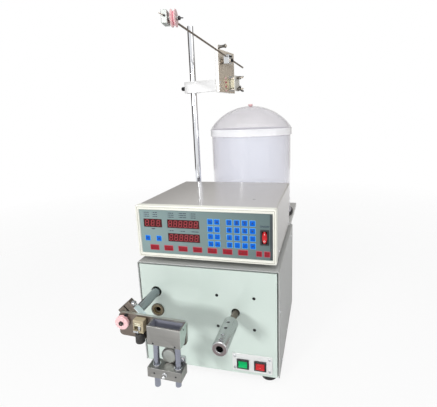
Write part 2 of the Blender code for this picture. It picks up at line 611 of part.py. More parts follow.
def mechanism():
    plate = piece("bearing_plate", box(((BEARING_PLATE_LEFT, BEARING_PLATE_RIGHT),
                                        (BEARING_PLATE_Y, BEARING_PLATE_Y + BEARING_PLATE_SHEET),
                                        (FLOOR_Z, BEARING_PLATE_TOP))), GREY_STEEL)
    start, end = BEARING_PLATE_Y - 0.003, BEARING_PLATE_Y + BEARING_PLATE_SHEET + 0.003
    cut(plate, rods([(SPINDLE_X, SPINDLE_Z)], SPINDLE_RADIUS + RUNNING, start, end, segments=SEGMENTS), "spindle")
    cut(plate, rods([(TRAVERSE_X, TRAVERSE_Z)], TRAVERSE_RADIUS + RUNNING, start, end, segments=SEGMENTS), "traverse")
    cut(plate, rods([(SCREW_X, TRAVERSE_Z)], SCREW_RADIUS + RUNNING, start, end, segments=SEGMENTS), "screw")
    cut(plate, rods([(MOTOR_X, MOTOR_Z)], MOTOR_SHAFT_RADIUS + RUNNING, start, end), "motor")

    bore = SPINDLE_RADIUS + RUNNING
    housing = [(bore, 0), (HOUSING_FLANGE_RADIUS, 0), (HOUSING_FLANGE_RADIUS, HOUSING_FLANGE),
               (HOUSING_RADIUS, HOUSING_FLANGE), (HOUSING_RADIUS, HOUSING_LENGTH), (bore, HOUSING_LENGTH)]
    piece("spindle_housing", turned(housing), GREY_STEEL, (SPINDLE_X, PANEL_BACK_Y + GAP, SPINDLE_Z))

    shaft_front = HOLDER_BACK_Y - HOLDER_SHAFT_DEPTH
    drive_end = DRIVE_Y + PULLEY_WIDTH + 0.004
    piece("spindle_shaft", bar(SPINDLE_RADIUS, shaft_front, drive_end, 0.001), BRIGHT_STEEL, (SPINDLE_X, 0, SPINDLE_Z))

    web_front = HOLDER_BORE_DEPTH
    web_back = HOLDER_LENGTH - HOLDER_SHAFT_DEPTH - GAP
    rim = 0.0012
    holder = piece("mandrel_holder", turned([
        (0, web_front), (HOLDER_BORE_RADIUS, web_front), (HOLDER_BORE_RADIUS, rim), (HOLDER_BORE_RADIUS + rim, 0),
        (HOLDER_RADIUS - rim, 0), (HOLDER_RADIUS, rim), (HOLDER_RADIUS, HOLDER_LENGTH - rim),
        (HOLDER_RADIUS - rim, HOLDER_LENGTH), (bore, HOLDER_LENGTH), (bore, web_back), (0, web_back)]),
        ALUMINIUM, (SPINDLE_X, HOLDER_FRONT_Y, SPINDLE_Z))
    cut(holder, rods([(0, along) for along in HOLDER_SCREWS], HOLDER_SCREW_RADIUS, 0.002, HOLDER_RADIUS + 0.004,
                     axis="Z", segments=14), "screws", (SPINDLE_X, HOLDER_FRONT_Y, SPINDLE_Z))

    flange = PULLEY_FLANGE
    piece("spindle_pulley", turned([
        (bore, 0), (SPINDLE_PULLEY_RADIUS + BELT_THICKNESS, 0), (SPINDLE_PULLEY_RADIUS + BELT_THICKNESS, flange),
        (SPINDLE_PULLEY_RADIUS, flange), (SPINDLE_PULLEY_RADIUS, PULLEY_WIDTH - flange),
        (SPINDLE_PULLEY_RADIUS + BELT_THICKNESS, PULLEY_WIDTH - flange),
        (SPINDLE_PULLEY_RADIUS + BELT_THICKNESS, PULLEY_WIDTH), (bore, PULLEY_WIDTH)]),
        ALUMINIUM, (SPINDLE_X, DRIVE_Y, SPINDLE_Z))

    motor_front = BEARING_PLATE_Y - GAP - MOTOR_LENGTH
    motor_bore = MOTOR_SHAFT_RADIUS + RUNNING
    shaft_room = MOTOR_LENGTH - MOTOR_SHAFT_DEPTH - GAP
    piece("spindle_motor", turned([
        (0, 0), (MOTOR_RADIUS - 0.004, 0), (MOTOR_RADIUS, 0.004), (MOTOR_RADIUS, MOTOR_LENGTH - 0.012),
        (MOTOR_RADIUS - 0.006, MOTOR_LENGTH - 0.012), (MOTOR_RADIUS - 0.006, MOTOR_LENGTH),
        (motor_bore, MOTOR_LENGTH), (motor_bore, shaft_room), (0, shaft_room)]),
        BLACK_PLASTIC, (MOTOR_X, motor_front, MOTOR_Z))
    tail = DRIVE_Y - BEARING_PLATE_Y + MOTOR_SHAFT_DEPTH + GAP
    piece("motor_pulley", turned([
        (0, -tail), (MOTOR_SHAFT_RADIUS, -tail), (MOTOR_SHAFT_RADIUS, 0),
        (MOTOR_PULLEY_RADIUS + BELT_THICKNESS, 0), (MOTOR_PULLEY_RADIUS + BELT_THICKNESS, flange),
        (MOTOR_PULLEY_RADIUS, flange), (MOTOR_PULLEY_RADIUS, PULLEY_WIDTH - flange),
        (MOTOR_PULLEY_RADIUS + BELT_THICKNESS, PULLEY_WIDTH - flange),
        (MOTOR_PULLEY_RADIUS + BELT_THICKNESS, PULLEY_WIDTH), (0, PULLEY_WIDTH)]),
        ALUMINIUM, (MOTOR_X, DRIVE_Y, MOTOR_Z))
    belt_y = DRIVE_Y + (PULLEY_WIDTH - BELT_WIDTH) / 2
    inner = belt_loop(GAP)
    outer = belt_loop(BELT_THICKNESS)
    piece("drive_belt", bridged([[(x, belt_y, z) for x, z in outer], [(x, belt_y + BELT_WIDTH, z) for x, z in outer],
                                 [(x, belt_y + BELT_WIDTH, z) for x, z in inner], [(x, belt_y, z) for x, z in inner]]),
          BLACK_RUBBER)


def belt_loop(offset, steps=18):
    # The line of an open belt round both pulleys, standing off them by the offset.
    across, up = SPINDLE_X - MOTOR_X, SPINDLE_Z - MOTOR_Z
    distance = math.hypot(across, up)
    heading = math.atan2(up, across)
    lean = math.acos((SPINDLE_PULLEY_RADIUS - MOTOR_PULLEY_RADIUS) / distance)
    points = []
    for x, z, radius, first, sweep in (
            (SPINDLE_X, SPINDLE_Z, SPINDLE_PULLEY_RADIUS, heading - (math.pi - lean), 2 * (math.pi - lean)),
            (MOTOR_X, MOTOR_Z, MOTOR_PULLEY_RADIUS, heading + math.pi - lean, 2 * lean)):
        for step in range(steps + 1):
            angle = first + sweep * step / steps
            reach = (radius + offset) / math.cos(sweep / steps / 2) if offset == GAP else radius + offset
            points.append((x + reach * math.cos(angle), z + reach * math.sin(angle)))
    return points


def traverse():
    bore = TRAVERSE_RADIUS + RUNNING
    shaft_front = FRONT_Y - TRAVERSE_REACH
    piece("traverse_shaft", bar(TRAVERSE_RADIUS, shaft_front, TRAVERSE_TAIL, 0.001), GREY_STEEL,
          (TRAVERSE_X, 0, TRAVERSE_Z))
    piece("traverse_bush", turned([
        (bore, 0), (BUSH_FLANGE_RADIUS, 0), (BUSH_FLANGE_RADIUS, BUSH_FLANGE), (BUSH_RADIUS, BUSH_FLANGE),
        (BUSH_RADIUS, BUSH_LENGTH), (bore, BUSH_LENGTH)]), BRONZE, (TRAVERSE_X, PANEL_BACK_Y + GAP, TRAVERSE_Z))
    ring_front = FRONT_Y - GAP - LOWER_BUSH_RING
    piece("lower_bush", turned([
        (LOWER_BUSH_BORE, 0), (LOWER_BUSH_RADIUS - 0.001, 0), (LOWER_BUSH_RADIUS, 0.001),
        (LOWER_BUSH_RADIUS, LOWER_BUSH_RING), (LOWER_BUSH_BODY_RADIUS, LOWER_BUSH_RING),
        (LOWER_BUSH_BODY_RADIUS, LOWER_BUSH_LENGTH), (LOWER_BUSH_BORE, LOWER_BUSH_LENGTH)]),
        GREY_STEEL, (TRAVERSE_X, ring_front, LOWER_BUSH_Z))

    stepper_y = BEARING_PLATE_Y + BEARING_PLATE_SHEET + GAP
    piece("lead_screw", bar(SCREW_RADIUS, PANEL_BACK_Y + GAP, stepper_y + STEPPER_BORE_DEPTH, 0.0005),
          BRIGHT_STEEL, (SCREW_X, 0, TRAVERSE_Z))
    half = STEPPER_SIZE / 2
    stepper = piece("traverse_motor", box(((SCREW_X - half, SCREW_X + half), (stepper_y, stepper_y + STEPPER_LENGTH),
                                           (TRAVERSE_Z - half, TRAVERSE_Z + half))), BLACK_PLASTIC)
    soften(stepper, 0.003)
    cut(stepper, rods([(SCREW_X, TRAVERSE_Z)], SCREW_RADIUS + RUNNING, stepper_y - 0.002,
                      stepper_y + STEPPER_BORE_DEPTH + GAP, segments=SEGMENTS), "bore")
    margin = CARRIAGE_MARGIN
    reach = TRAVERSE_RADIUS + margin
    carriage = piece("traverse_carriage", box((
        (TRAVERSE_X - reach, SCREW_X + SCREW_RADIUS + margin),
        (CARRIAGE_Y - CARRIAGE_THICKNESS / 2, CARRIAGE_Y + CARRIAGE_THICKNESS / 2),
        (TRAVERSE_Z - reach, TRAVERSE_Z + reach))), ALUMINIUM)
    soften(carriage, 0.002)
    ends = (CARRIAGE_Y - CARRIAGE_THICKNESS, CARRIAGE_Y + CARRIAGE_THICKNESS)
    cut(carriage, rods([(TRAVERSE_X, TRAVERSE_Z)], bore, *ends, segments=SEGMENTS), "shaft")
    cut(carriage, rods([(SCREW_X, TRAVERSE_Z)], SCREW_RADIUS + RUNNING, *ends, segments=SEGMENTS), "nut")


def rocker_switch(name, x, z, width, height, front_y, depth, rim, tint, mark):
    # A rim that overhangs the opening, a body behind it, and a rocker that tilts about X.
    body = piece(name + "_switch_body", box(((x - width / 2, x + width / 2), (front_y - SWITCH_RIM_DEPTH, front_y),
                                             (z - height / 2, z + height / 2))), BLACK_PLASTIC)
    soften(body, 0.0006)
    half_width, half_height = width / 2 - rim, height / 2 - rim
    add(body, box(((x - half_width, x + half_width), (front_y - SWITCH_RIM_DEPTH / 2, front_y + depth),
                   (z - half_height, z + half_height))), "barrel")
    pocket_half, pocket_rise = width / 2 - POCKET_WALL - rim / 2, height / 2 - POCKET_WALL - rim / 2
    cut(body, box(((x - pocket_half, x + pocket_half), (front_y - 0.006, front_y - SWITCH_RIM_DEPTH + POCKET_DEPTH),
                   (z - pocket_rise, z + pocket_rise))), "pocket")
    half = pocket_half - ROCKER_PLAY
    rise = pocket_rise - ROCKER_PLAY
    crest = 0.0014
    outline = [(-SWITCH_RIM_DEPTH - crest, rise - 0.0004), (-SWITCH_RIM_DEPTH - crest, rise - 0.0012),
               (-SWITCH_RIM_DEPTH + crest / 2, 0.0), (-SWITCH_RIM_DEPTH - crest, -rise + 0.0012),
               (-SWITCH_RIM_DEPTH - crest, -rise + 0.0004), (0.0012, -rise + 0.0002),
               (0.0050, -0.003), (0.0050, 0.003), (0.0012, rise - 0.0002)]
    rocker = piece(mark + "_rocker", extruded(outline, -half, half, "X"), tint, (x, front_y, z), (-ROCKER_TILT, 0, 0))
    soften(rocker, 0.0003)
    return rocker


def switches():
    plate_front = FRONT_Y - GAP - PLATE_SHEET
    outline = rounded(PLATE_X - PLATE_WIDTH / 2, PLATE_X + PLATE_WIDTH / 2, PLATE_Z - PLATE_HEIGHT / 2,
                      PLATE_Z + PLATE_HEIGHT / 2, 0.0025)
    plate = piece("switch_plate", extruded(outline, plate_front, plate_front + PLATE_SHEET), ALUMINIUM)
    cut(plate, box(*[switch_opening(x, plate_front - 0.002, plate_front + PLATE_SHEET + 0.002)
                     for x in (START_X, STOP_X)]), "openings")
    for mark, x, tint in (("start", START_X, GREEN_PLASTIC), ("stop", STOP_X, RED_PLASTIC)):
        rocker_switch(mark, x, SWITCH_Z, SWITCH_WIDTH, SWITCH_HEIGHT, plate_front - GAP, SWITCH_DEPTH, SWITCH_RIM,
                      tint, mark)


def counter_box():
    left, right = BOX_X - BOX_WIDTH / 2, BOX_X + BOX_WIDTH / 2
    bottom, top = BOX_Z, BOX_Z + BOX_HEIGHT
    opening = rounded(left + BEZEL_SIDE, right - BEZEL_SIDE, bottom + BEZEL_BOTTOM, top - BEZEL_TOP, 0.0015)
    groove = BEZEL_GROOVE
    sections = ((1.5 * groove, 0.0), (0.0, groove), (0.0, 0.0040), (groove, 0.0046), (groove, 0.0058),
                (0.0, 0.0064), (0.0, BEZEL_DEPTH))
    loops = []
    for inset, back in sections:
        edge = rounded(left + inset, right - inset, bottom + inset, top - inset, BEZEL_CORNER - inset)
        loops.append([(x, BOX_FRONT_Y + back, z) for x, z in edge])
    loops.append([(x, BOX_FRONT_Y + BEZEL_DEPTH, z) for x, z in opening])
    loops.append([(x, BOX_FRONT_Y + 0.001, z) for x, z in opening])
    flare = rounded(left + BEZEL_SIDE - 0.001, right - BEZEL_SIDE + 0.001, bottom + BEZEL_BOTTOM - 0.001,
                    top - BEZEL_TOP + 0.001, 0.0025)
    loops.append([(x, BOX_FRONT_Y, z) for x, z in flare])
    piece("controller_bezel", bridged(loops), CREAM_PLASTIC)

    case_front = BOX_FRONT_Y + BEZEL_DEPTH + GAP
    case_back = BOX_FRONT_Y + BOX_DEPTH
    case_width = BOX_WIDTH - 2 * BOX_STEP
    case_height = BOX_HEIGHT - BOX_STEP - BOX_SHEET
    piece("controller_case", channel(case_width, case_height, BOX_SHEET, 0.003, case_front, case_back), BOX_PAINT,
          (BOX_X, 0, bottom + BOX_SHEET))

    inner = case_width / 2 - BOX_SHEET - GAP
    base = piece("controller_base", box(((-inner, inner), (case_front, case_back - BOX_SHEET), (0.0, BOX_SHEET))),
                 BOX_PAINT, (BOX_X, 0, bottom), smooth=False)
    at_base = (BOX_X, 0, bottom)
    add(base, extruded(cut_corners(inner, case_height - GAP, 0.0015), case_back - 2 * BOX_SHEET, case_back), "rear",
        at_base)
    foot_x, foot_in = inner - 0.022, 0.030
    spots = [(sign * foot_x, y) for sign in (-1, 1) for y in (case_front + foot_in, case_back - foot_in)]
    add(base, rods(spots, BOX_FOOT_RADIUS, GAP - BOX_FEET, BOX_SHEET / 2, "Z"), "feet", at_base)
    slots = [((first, first + 0.003), (case_back - 0.008, case_back + 0.004), (0.268 * BOX_HEIGHT, 0.670 * BOX_HEIGHT))
             for first in ((-0.2055 + 0.0274 * i) * BOX_WIDTH for i in range(12))]
    cut(base, box(*slots), "slots", at_base)
    sockets = [(0.2911 * BOX_WIDTH, 0.357 * BOX_HEIGHT), (0.3767 * BOX_WIDTH, 0.357 * BOX_HEIGHT)]
    cut(base, rods(sockets, 0.0075, case_back - 0.008, case_back + 0.004), "sockets", at_base)

    panel_y = BOX_FRONT_Y + KEY_PANEL_RECESS
    edges = (left + BEZEL_SIDE + GAP, right - BEZEL_SIDE - GAP, bottom + BEZEL_BOTTOM + GAP, top - BEZEL_TOP - GAP)
    panel = piece("key_panel", extruded(rounded(*edges, 0.0015), panel_y, panel_y + KEY_PANEL_SHEET), PANEL_FILM,
                  smooth=False)
    windows = [(SMALL_WINDOW_X, SMALL_WINDOW_WIDTH, UPPER_WINDOW_Z), (LARGE_WINDOW_X, LARGE_WINDOW_WIDTH, UPPER_WINDOW_Z),
               (LARGE_WINDOW_X, LARGE_WINDOW_WIDTH, LOWER_WINDOW_Z)]
    openings = [((x - width / 2, x + width / 2), (panel_y - 0.002, panel_y + KEY_PANEL_SHEET + 0.002),
                 (bottom + z - WINDOW_HEIGHT / 2, bottom + z + WINDOW_HEIGHT / 2)) for x, width, z in windows]
    cut(panel, box(*openings), "windows")
    power_half, power_rise = POWER_WIDTH / 2 - 0.0015 + GAP, POWER_HEIGHT / 2 - 0.0015 + GAP
    cut(panel, box(((POWER_X - power_half, POWER_X + power_half), (panel_y - 0.002, panel_y + 0.008),
                    (bottom + POWER_Z - power_rise, bottom + POWER_Z + power_rise))), "power")
    pads = []
    for x, z, width in key_places():
        pads.append(((x - width / 2, x + width / 2), (panel_y - KEY_RISE, panel_y + KEY_PANEL_SHEET / 2),
                     (bottom + z - KEY_SIZE / 2, bottom + z + KEY_SIZE / 2)))
    add(panel, box(*pads), "keys")

    board = piece("control_board", box(((BOX_X - 0.4606 * BOX_WIDTH, BOX_X + 0.3716 * BOX_WIDTH),
                                        (BOARD_Y, BOARD_Y + BOARD_SHEET),
                                        (bottom + 0.0714 * BOX_HEIGHT, top - 0.107 * BOX_HEIGHT))), BOARD_GREEN, smooth=False)
    modules = [((x - width / 2 + GAP, x + width / 2 - GAP), (panel_y + 0.0006, BOARD_Y + BOARD_SHEET / 2),
                (bottom + z - WINDOW_HEIGHT / 2 + GAP, bottom + z + WINDOW_HEIGHT / 2 - GAP)) for x, width, z in windows]
    add(board, box(*modules), "displays")
    rocker_switch("power", POWER_X, bottom + POWER_Z, POWER_WIDTH, POWER_HEIGHT, panel_y - GAP, 0.022, 0.0015,
                  RED_PLASTIC, "power")


def key_places():
    # Middle and width of each key, above the underside of the counter box.
    places = [(share * BOX_WIDTH, 0.3696 * BOX_HEIGHT, KEY_SIZE) for share in (-0.4226, -0.3366)]
    places += [((-0.3750 + 0.10788 * i) * BOX_WIDTH, 0.192 * BOX_HEIGHT, WIDE_KEY) for i in range(7)]
    places += [(share * BOX_WIDTH, 0.1875 * BOX_HEIGHT, KEY_SIZE) for share in (0.38185, 0.43562)]
    for row in range(4):
        z = 0.733 * BOX_HEIGHT - row * KEY_PITCH * 0.99
        places += [(0.04897 * BOX_WIDTH + KEY_PITCH * 0.9 * column, z, KEY_SIZE) for column in range(2)]
        places += [(0.1815 * BOX_WIDTH + KEY_PITCH * column, z, KEY_SIZE) for column in range(4)]
    return [(BOX_X + x, z, width) for x, z, width in places]


def wire_guide():
    guide = frame("guide_frame", (TRAVERSE_X, 0, TRAVERSE_Z), (0, GUIDE_ROLL, 0))
    clamp_front = FRONT_Y - TRAVERSE_REACH - GAP
    along = CLAMP_LENGTH / 2
    clamp = piece("guide_clamp", box(((-along - CLAMP_OFFSET, along - CLAMP_OFFSET),
                                      (clamp_front, clamp_front + CLAMP_THICKNESS),
                                      (-CLAMP_WIDTH / 2 - CLAMP_SHIFT, CLAMP_WIDTH / 2 - CLAMP_SHIFT))), ALUMINIUM,
                  (0, 0, 0), (0, CLAMP_TURN, 0), guide)
    soften(clamp, 0.0008)
    ends = (clamp_front - 0.003, clamp_front + CLAMP_THICKNESS + 0.003)
    cut(clamp, rods([(0, 0)], TRAVERSE_RADIUS + RUNNING, *ends, segments=SEGMENTS), "bore", turn=(0, CLAMP_TURN, 0))
    cut(clamp, box(((-along - CLAMP_OFFSET - 0.003, 0.0), ends, (-CLAMP_SLOT / 2, CLAMP_SLOT / 2))), "slot",
        turn=(0, CLAMP_TURN, 0))

    outline = rounded(GUIDE_PLATE_LEFT, GUIDE_PLATE_RIGHT, GUIDE_PLATE_BOTTOM, GUIDE_PLATE_TOP, GUIDE_PLATE_CORNER)
    plate = piece("guide_plate", extruded(outline, GUIDE_PLATE_FRONT_Y, GUIDE_PLATE_BACK_Y), ALUMINIUM, parent=guide)
    pulley_place = (GUIDE_PULLEY_X, GUIDE_FACE_Y - GUIDE_PULLEY_WIDTH / 2, GUIDE_PULLEY_Z)
    head = 0.0025
    axle = turned([(0, GUIDE_FACE_Y - GUIDE_PULLEY_WIDTH - GAP - head), (0.0042, GUIDE_FACE_Y - GUIDE_PULLEY_WIDTH - GAP - head),
                   (0.0042, GUIDE_FACE_Y - GUIDE_PULLEY_WIDTH - GAP), (GUIDE_AXLE_RADIUS, GUIDE_FACE_Y - GUIDE_PULLEY_WIDTH - GAP),
                   (GUIDE_AXLE_RADIUS, GUIDE_PLATE_BACK_Y - 0.002), (0, GUIDE_PLATE_BACK_Y - 0.002)])
    add(plate, axle, "axle", (GUIDE_PULLEY_X, 0, GUIDE_PULLEY_Z))
    piece("guide_pulley", grooved_wheel(GUIDE_PULLEY_RADIUS, GUIDE_PULLEY_GROOVE, GUIDE_PULLEY_WIDTH,
                                        GUIDE_AXLE_RADIUS + RUNNING), PINK_CERAMIC, pulley_place, parent=guide)
    felt_clamp(guide)
    trough_and_rods(guide)


def grooved_wheel(radius, groove, width, bore, axis="Y", segments=SEGMENTS):
    half = width / 2
    return turned([(bore, -half), (radius - 0.001, -half), (radius, -half + 0.0012), (radius - 0.0006, -half + 0.0022),
                   (groove, -0.0006), (groove, 0.0006), (radius - 0.0006, half - 0.0022), (radius, half - 0.0012),
                   (radius - 0.001, half), (bore, half)], axis, segments)


def felt_clamp(guide):
    # The beige block that holds the wire's felt, open below the shoe that the knob presses.
    front = GUIDE_FACE_Y - FELT_BLOCK_DEPTH
    wall, bridge = FELT_BLOCK_WALL, 0.0045
    block = piece("felt_block", box(((FELT_BLOCK_LEFT, FELT_BLOCK_RIGHT), (front, GUIDE_FACE_Y),
                                     (FELT_BLOCK_BOTTOM, FELT_BLOCK_TOP))), BEIGE_PLASTIC, parent=guide)
    soften(block, 0.0008)
    recess_top = FELT_BLOCK_TOP - 0.0055
    recess = ((FELT_BLOCK_LEFT + 0.7 * wall, FELT_BLOCK_RIGHT - 1.5 * wall), (front - 0.002, GUIDE_FACE_Y - wall),
              (FELT_BLOCK_BOTTOM + bridge, recess_top))
    cut(block, box(recess), "recess")
    stem_x = (FELT_BLOCK_LEFT + FELT_BLOCK_RIGHT) / 2 + 0.0010
    stem_y = front + 0.0040
    cut(block, rods([(stem_x, stem_y)], KNOB_STEM_RADIUS + RUNNING, FELT_BLOCK_BOTTOM - 0.002,
                    FELT_BLOCK_BOTTOM + bridge + 0.002, "Z", SMALL_SEGMENTS * 2), "stem")
    knob_top = FELT_BLOCK_BOTTOM - 0.0015
    stem_top = recess_top - 0.006 - FELT_BLOCK_BOTTOM
    shoe = 0.0038
    drop = knob_top - FELT_BLOCK_BOTTOM
    profile = [(0, drop - KNOB_HEIGHT), (KNOB_RADIUS - 0.001, drop - KNOB_HEIGHT), (KNOB_RADIUS, drop - KNOB_HEIGHT + 0.001),
               (KNOB_RADIUS, drop - 0.001), (KNOB_RADIUS - 0.001, drop), (KNOB_STEM_RADIUS, drop),
               (KNOB_STEM_RADIUS, stem_top - 0.003), (shoe, stem_top - 0.003), (shoe, stem_top), (0, stem_top)]
    knob = piece("felt_knob", turned(profile, "Z", SMALL_SEGMENTS * 2), BLACK_PLASTIC, (stem_x, stem_y, FELT_BLOCK_BOTTOM), parent=guide)
    flutes = [(KNOB_RADIUS * math.cos(a), KNOB_RADIUS * math.sin(a))
              for a in (2 * math.pi * i / 15 for i in range(15))]
    cut(knob, rods(flutes, 0.0007, drop - KNOB_HEIGHT - 0.001, drop + 0.0005, "Z", 6), "flutes",
        (stem_x, stem_y, FELT_BLOCK_BOTTOM))


def trough_and_rods(guide):
    front = GUIDE_FACE_Y - TROUGH_DEPTH
    side = [(GUIDE_FACE_Y, TROUGH_TOP), (front, TROUGH_TOP), (front, TROUGH_BOTTOM),
            (GUIDE_FACE_Y - TROUGH_BEVEL * 0.75, TROUGH_BOTTOM), (GUIDE_FACE_Y, TROUGH_BOTTOM + TROUGH_BEVEL * 1.2)]
    trough = piece("guide_trough", extruded(side, TROUGH_LEFT, TROUGH_RIGHT, "X"), ALUMINIUM, parent=guide)
    soften(trough, 0.0005)
    cut(trough, box(((TROUGH_LEFT + TROUGH_WALL, TROUGH_RIGHT - TROUGH_WALL),
                     (front + TROUGH_WALL, GUIDE_FACE_Y - TROUGH_WALL),
                     (TROUGH_TOP - TROUGH_POCKET, TROUGH_TOP + 0.002))), "pocket")
    seats = [(ROD_LEFT_X, ROD_Y), (ROD_RIGHT_X, ROD_Y)]
    cut(trough, rods(seats, ROD_RADIUS + GAP, TROUGH_BOTTOM - 0.002, TROUGH_BOTTOM + ROD_SEAT + GAP, "Z", ROD_SEGMENTS), "seats")
    cut(trough, rods([(x, TROUGH_BOTTOM + 0.003) for x, _ in seats], 0.0018, front - 0.002, front + 0.005, "Y", 12),
        "grubs")
    for side_name, x, end in (("left", ROD_LEFT_X, ROD_LEFT_BOTTOM), ("right", ROD_RIGHT_X, ROD_RIGHT_BOTTOM)):
        piece(f"guide_rod_{side_name}", bar(ROD_RADIUS, end, TROUGH_BOTTOM + ROD_SEAT, 0.0012, "Z", ROD_SEGMENTS),
              BRIGHT_STEEL, (x, ROD_Y, 0), parent=guide)

    block_front = front
    block_back = block_front + LOWER_BLOCK_DEPTH
    bottom = LOWER_BLOCK_TOP - LOWER_BLOCK_HEIGHT
    lower = piece("lower_block", box(((LOWER_BLOCK_LEFT, TROUGH_RIGHT), (block_front, block_back), (bottom, LOWER_BLOCK_TOP))),
                  ALUMINIUM, parent=guide)
    soften(lower, 0.0005)
    middle = (ROD_LEFT_X + ROD_RIGHT_X) / 2
    boss_z = LOWER_BLOCK_TOP + BOSS_RADIUS - 0.001
    boss_back = block_back
    boss = turned([(0, boss_back - BOSS_THICKNESS), (BOSS_RADIUS - 0.0015, boss_back - BOSS_THICKNESS),
                   (BOSS_RADIUS, boss_back - BOSS_THICKNESS + 0.0015), (BOSS_RADIUS, boss_back), (0, boss_back)])
    add(lower, boss, "boss", (middle, 0, boss_z))
    cut(lower, rods(seats, ROD_RADIUS + RUNNING, bottom - 0.003, LOWER_BLOCK_TOP + 0.003, "Z", ROD_SEGMENTS), "bores")
    cut(lower, rods([(x, bottom + LOWER_BLOCK_HEIGHT / 2) for x, _ in seats], 0.0018, block_front - 0.002,
                    block_front + 0.005, "Y", 12), "grubs")


def post_and_bracket():
    bore = POST_RADIUS + RUNNING
    piece("post_base", turned([
        (bore, 0), (POST_FLANGE_RADIUS, 0), (POST_FLANGE_RADIUS, POST_FLANGE), (POST_NECK_RADIUS, POST_FLANGE + 0.001),
        (POST_NECK_RADIUS, POST_FLANGE + POST_NECK), (bore, POST_FLANGE + POST_NECK)], "Z"),
        BLACK_PLASTIC, (POST_X, POST_Y, SHELF_TOP + GAP))
    piece("post", bar(POST_RADIUS, SHELF_TOP + GAP, POST_TOP, 0.001, "Z"), CHROME, (POST_X, POST_Y, 0))

    bracket = frame("bracket_frame", (POST_X, POST_Y, 0), (0, 0, BRACKET_TURN))
    low, high = BAR_Z - BAR_HEIGHT / 2, BAR_Z + BAR_HEIGHT / 2
    clamp_bar = piece("post_clamp_bar", box(((BAR_LEFT, BAR_BLOCK_RIGHT), (-BAR_BLOCK_DEPTH / 2, BAR_BLOCK_DEPTH / 2),
                                             (low, high))), ALUMINIUM, parent=bracket)
    soften(clamp_bar, 0.0008)
    front = -BAR_BLOCK_DEPTH / 2
    add(clamp_bar, box(((0.0, TENSION_PLATE_X - GAP), (front + 0.0005, front + BAR_DEPTH), (low + 0.0005, high - 0.0005))), "arm")
    cut(clamp_bar, rods([(0, 0)], bore, low - 0.002, high + 0.002, "Z", SEGMENTS), "bore")
    cut(clamp_bar, box(((BAR_LEFT - 0.002, 0.0), (-0.0008, 0.0008), (low - 0.002, high + 0.002))), "slot")

    tension_plate(bracket)
    dancer_arm(bracket)
    felt_tensioner(bracket)


def tension_plate(bracket):
    near, far = TENSION_PLATE_FRONT, TENSION_PLATE_BACK
    lug_top = ROLLER_Z + 0.0045
    side = [(near, TENSION_PLATE_BOTTOM), (far, TENSION_PLATE_BOTTOM), (far, TENSION_PLATE_TOP - TENSION_PLATE_SLOPE),
            (near + 0.030, TENSION_PLATE_TOP), (near, TENSION_PLATE_TOP)]
    plate = piece("tension_plate", extruded(side, TENSION_PLATE_X, TENSION_FACE_X, "X"), ALUMINIUM, parent=bracket)
    soften(plate, 0.0006)
    lug_face = TENSION_FACE_X - 0.0003
    add(plate, box(((TENSION_PLATE_X + 0.0003, lug_face), (near + 0.0005, near + ROLLER_LUG),
                    (TENSION_PLATE_TOP - 0.004, lug_top))), "lug")
    roller_start = TENSION_FACE_X + GAP
    pin_end = roller_start + ROLLER_LENGTH + GAP
    head = 0.0016
    roller_pin = turned([(0, lug_face - 0.002), (ROLLER_PIN_RADIUS, lug_face - 0.002), (ROLLER_PIN_RADIUS, pin_end),
                         (0.003, pin_end), (0.003, pin_end + head), (0, pin_end + head)], "X", SMALL_SEGMENTS)
    add(plate, roller_pin, "roller_pin", (0, ROLLER_Y, ROLLER_Z))
    pivot_end = HUB_X + HUB_SIZE / 2 + GAP
    pivot = turned([(0, TENSION_FACE_X - 0.003), (PIVOT_RADIUS, TENSION_FACE_X - 0.003), (PIVOT_RADIUS, pivot_end),
                    (0.0048, pivot_end), (0.0048, pivot_end + 0.003), (0, pivot_end + 0.003)], "X", SMALL_SEGMENTS)
    add(plate, pivot, "pivot", (0, PIVOT_Y, PIVOT_Z))
    studs = [(STUD_Y, STUD_UPPER_Z), (STUD_Y, STUD_LOWER_Z)]
    add(plate, rods(studs, STUD_RADIUS, TENSION_FACE_X - 0.003, TENSION_FACE_X + STUD_LENGTH, "X"), "studs")
    eyes = [(EYELET_Y, TENSION_PLATE_BOTTOM + 0.0055 + EYELET_PITCH * i) for i in range(EYELET_COUNT)]
    cut(plate, rods(eyes, EYELET_RADIUS, TENSION_PLATE_X - 0.002, TENSION_FACE_X + 0.002, "X", 12), "eyes")

    half = ROLLER_LENGTH / 2
    roller = [(ROLLER_PIN_RADIUS + RUNNING, -half), (ROLLER_RADIUS, -half), (ROLLER_RADIUS, -half + 0.0015),
              (ROLLER_WAIST, -half + 0.005), (ROLLER_WAIST, half - 0.005), (ROLLER_RADIUS, half - 0.0015),
              (ROLLER_RADIUS, half), (ROLLER_PIN_RADIUS + RUNNING, half)]
    piece("top_roller", turned(roller, "X", SMALL_SEGMENTS), BRIGHT_STEEL, (roller_start + half, ROLLER_Y, ROLLER_Z), parent=bracket)


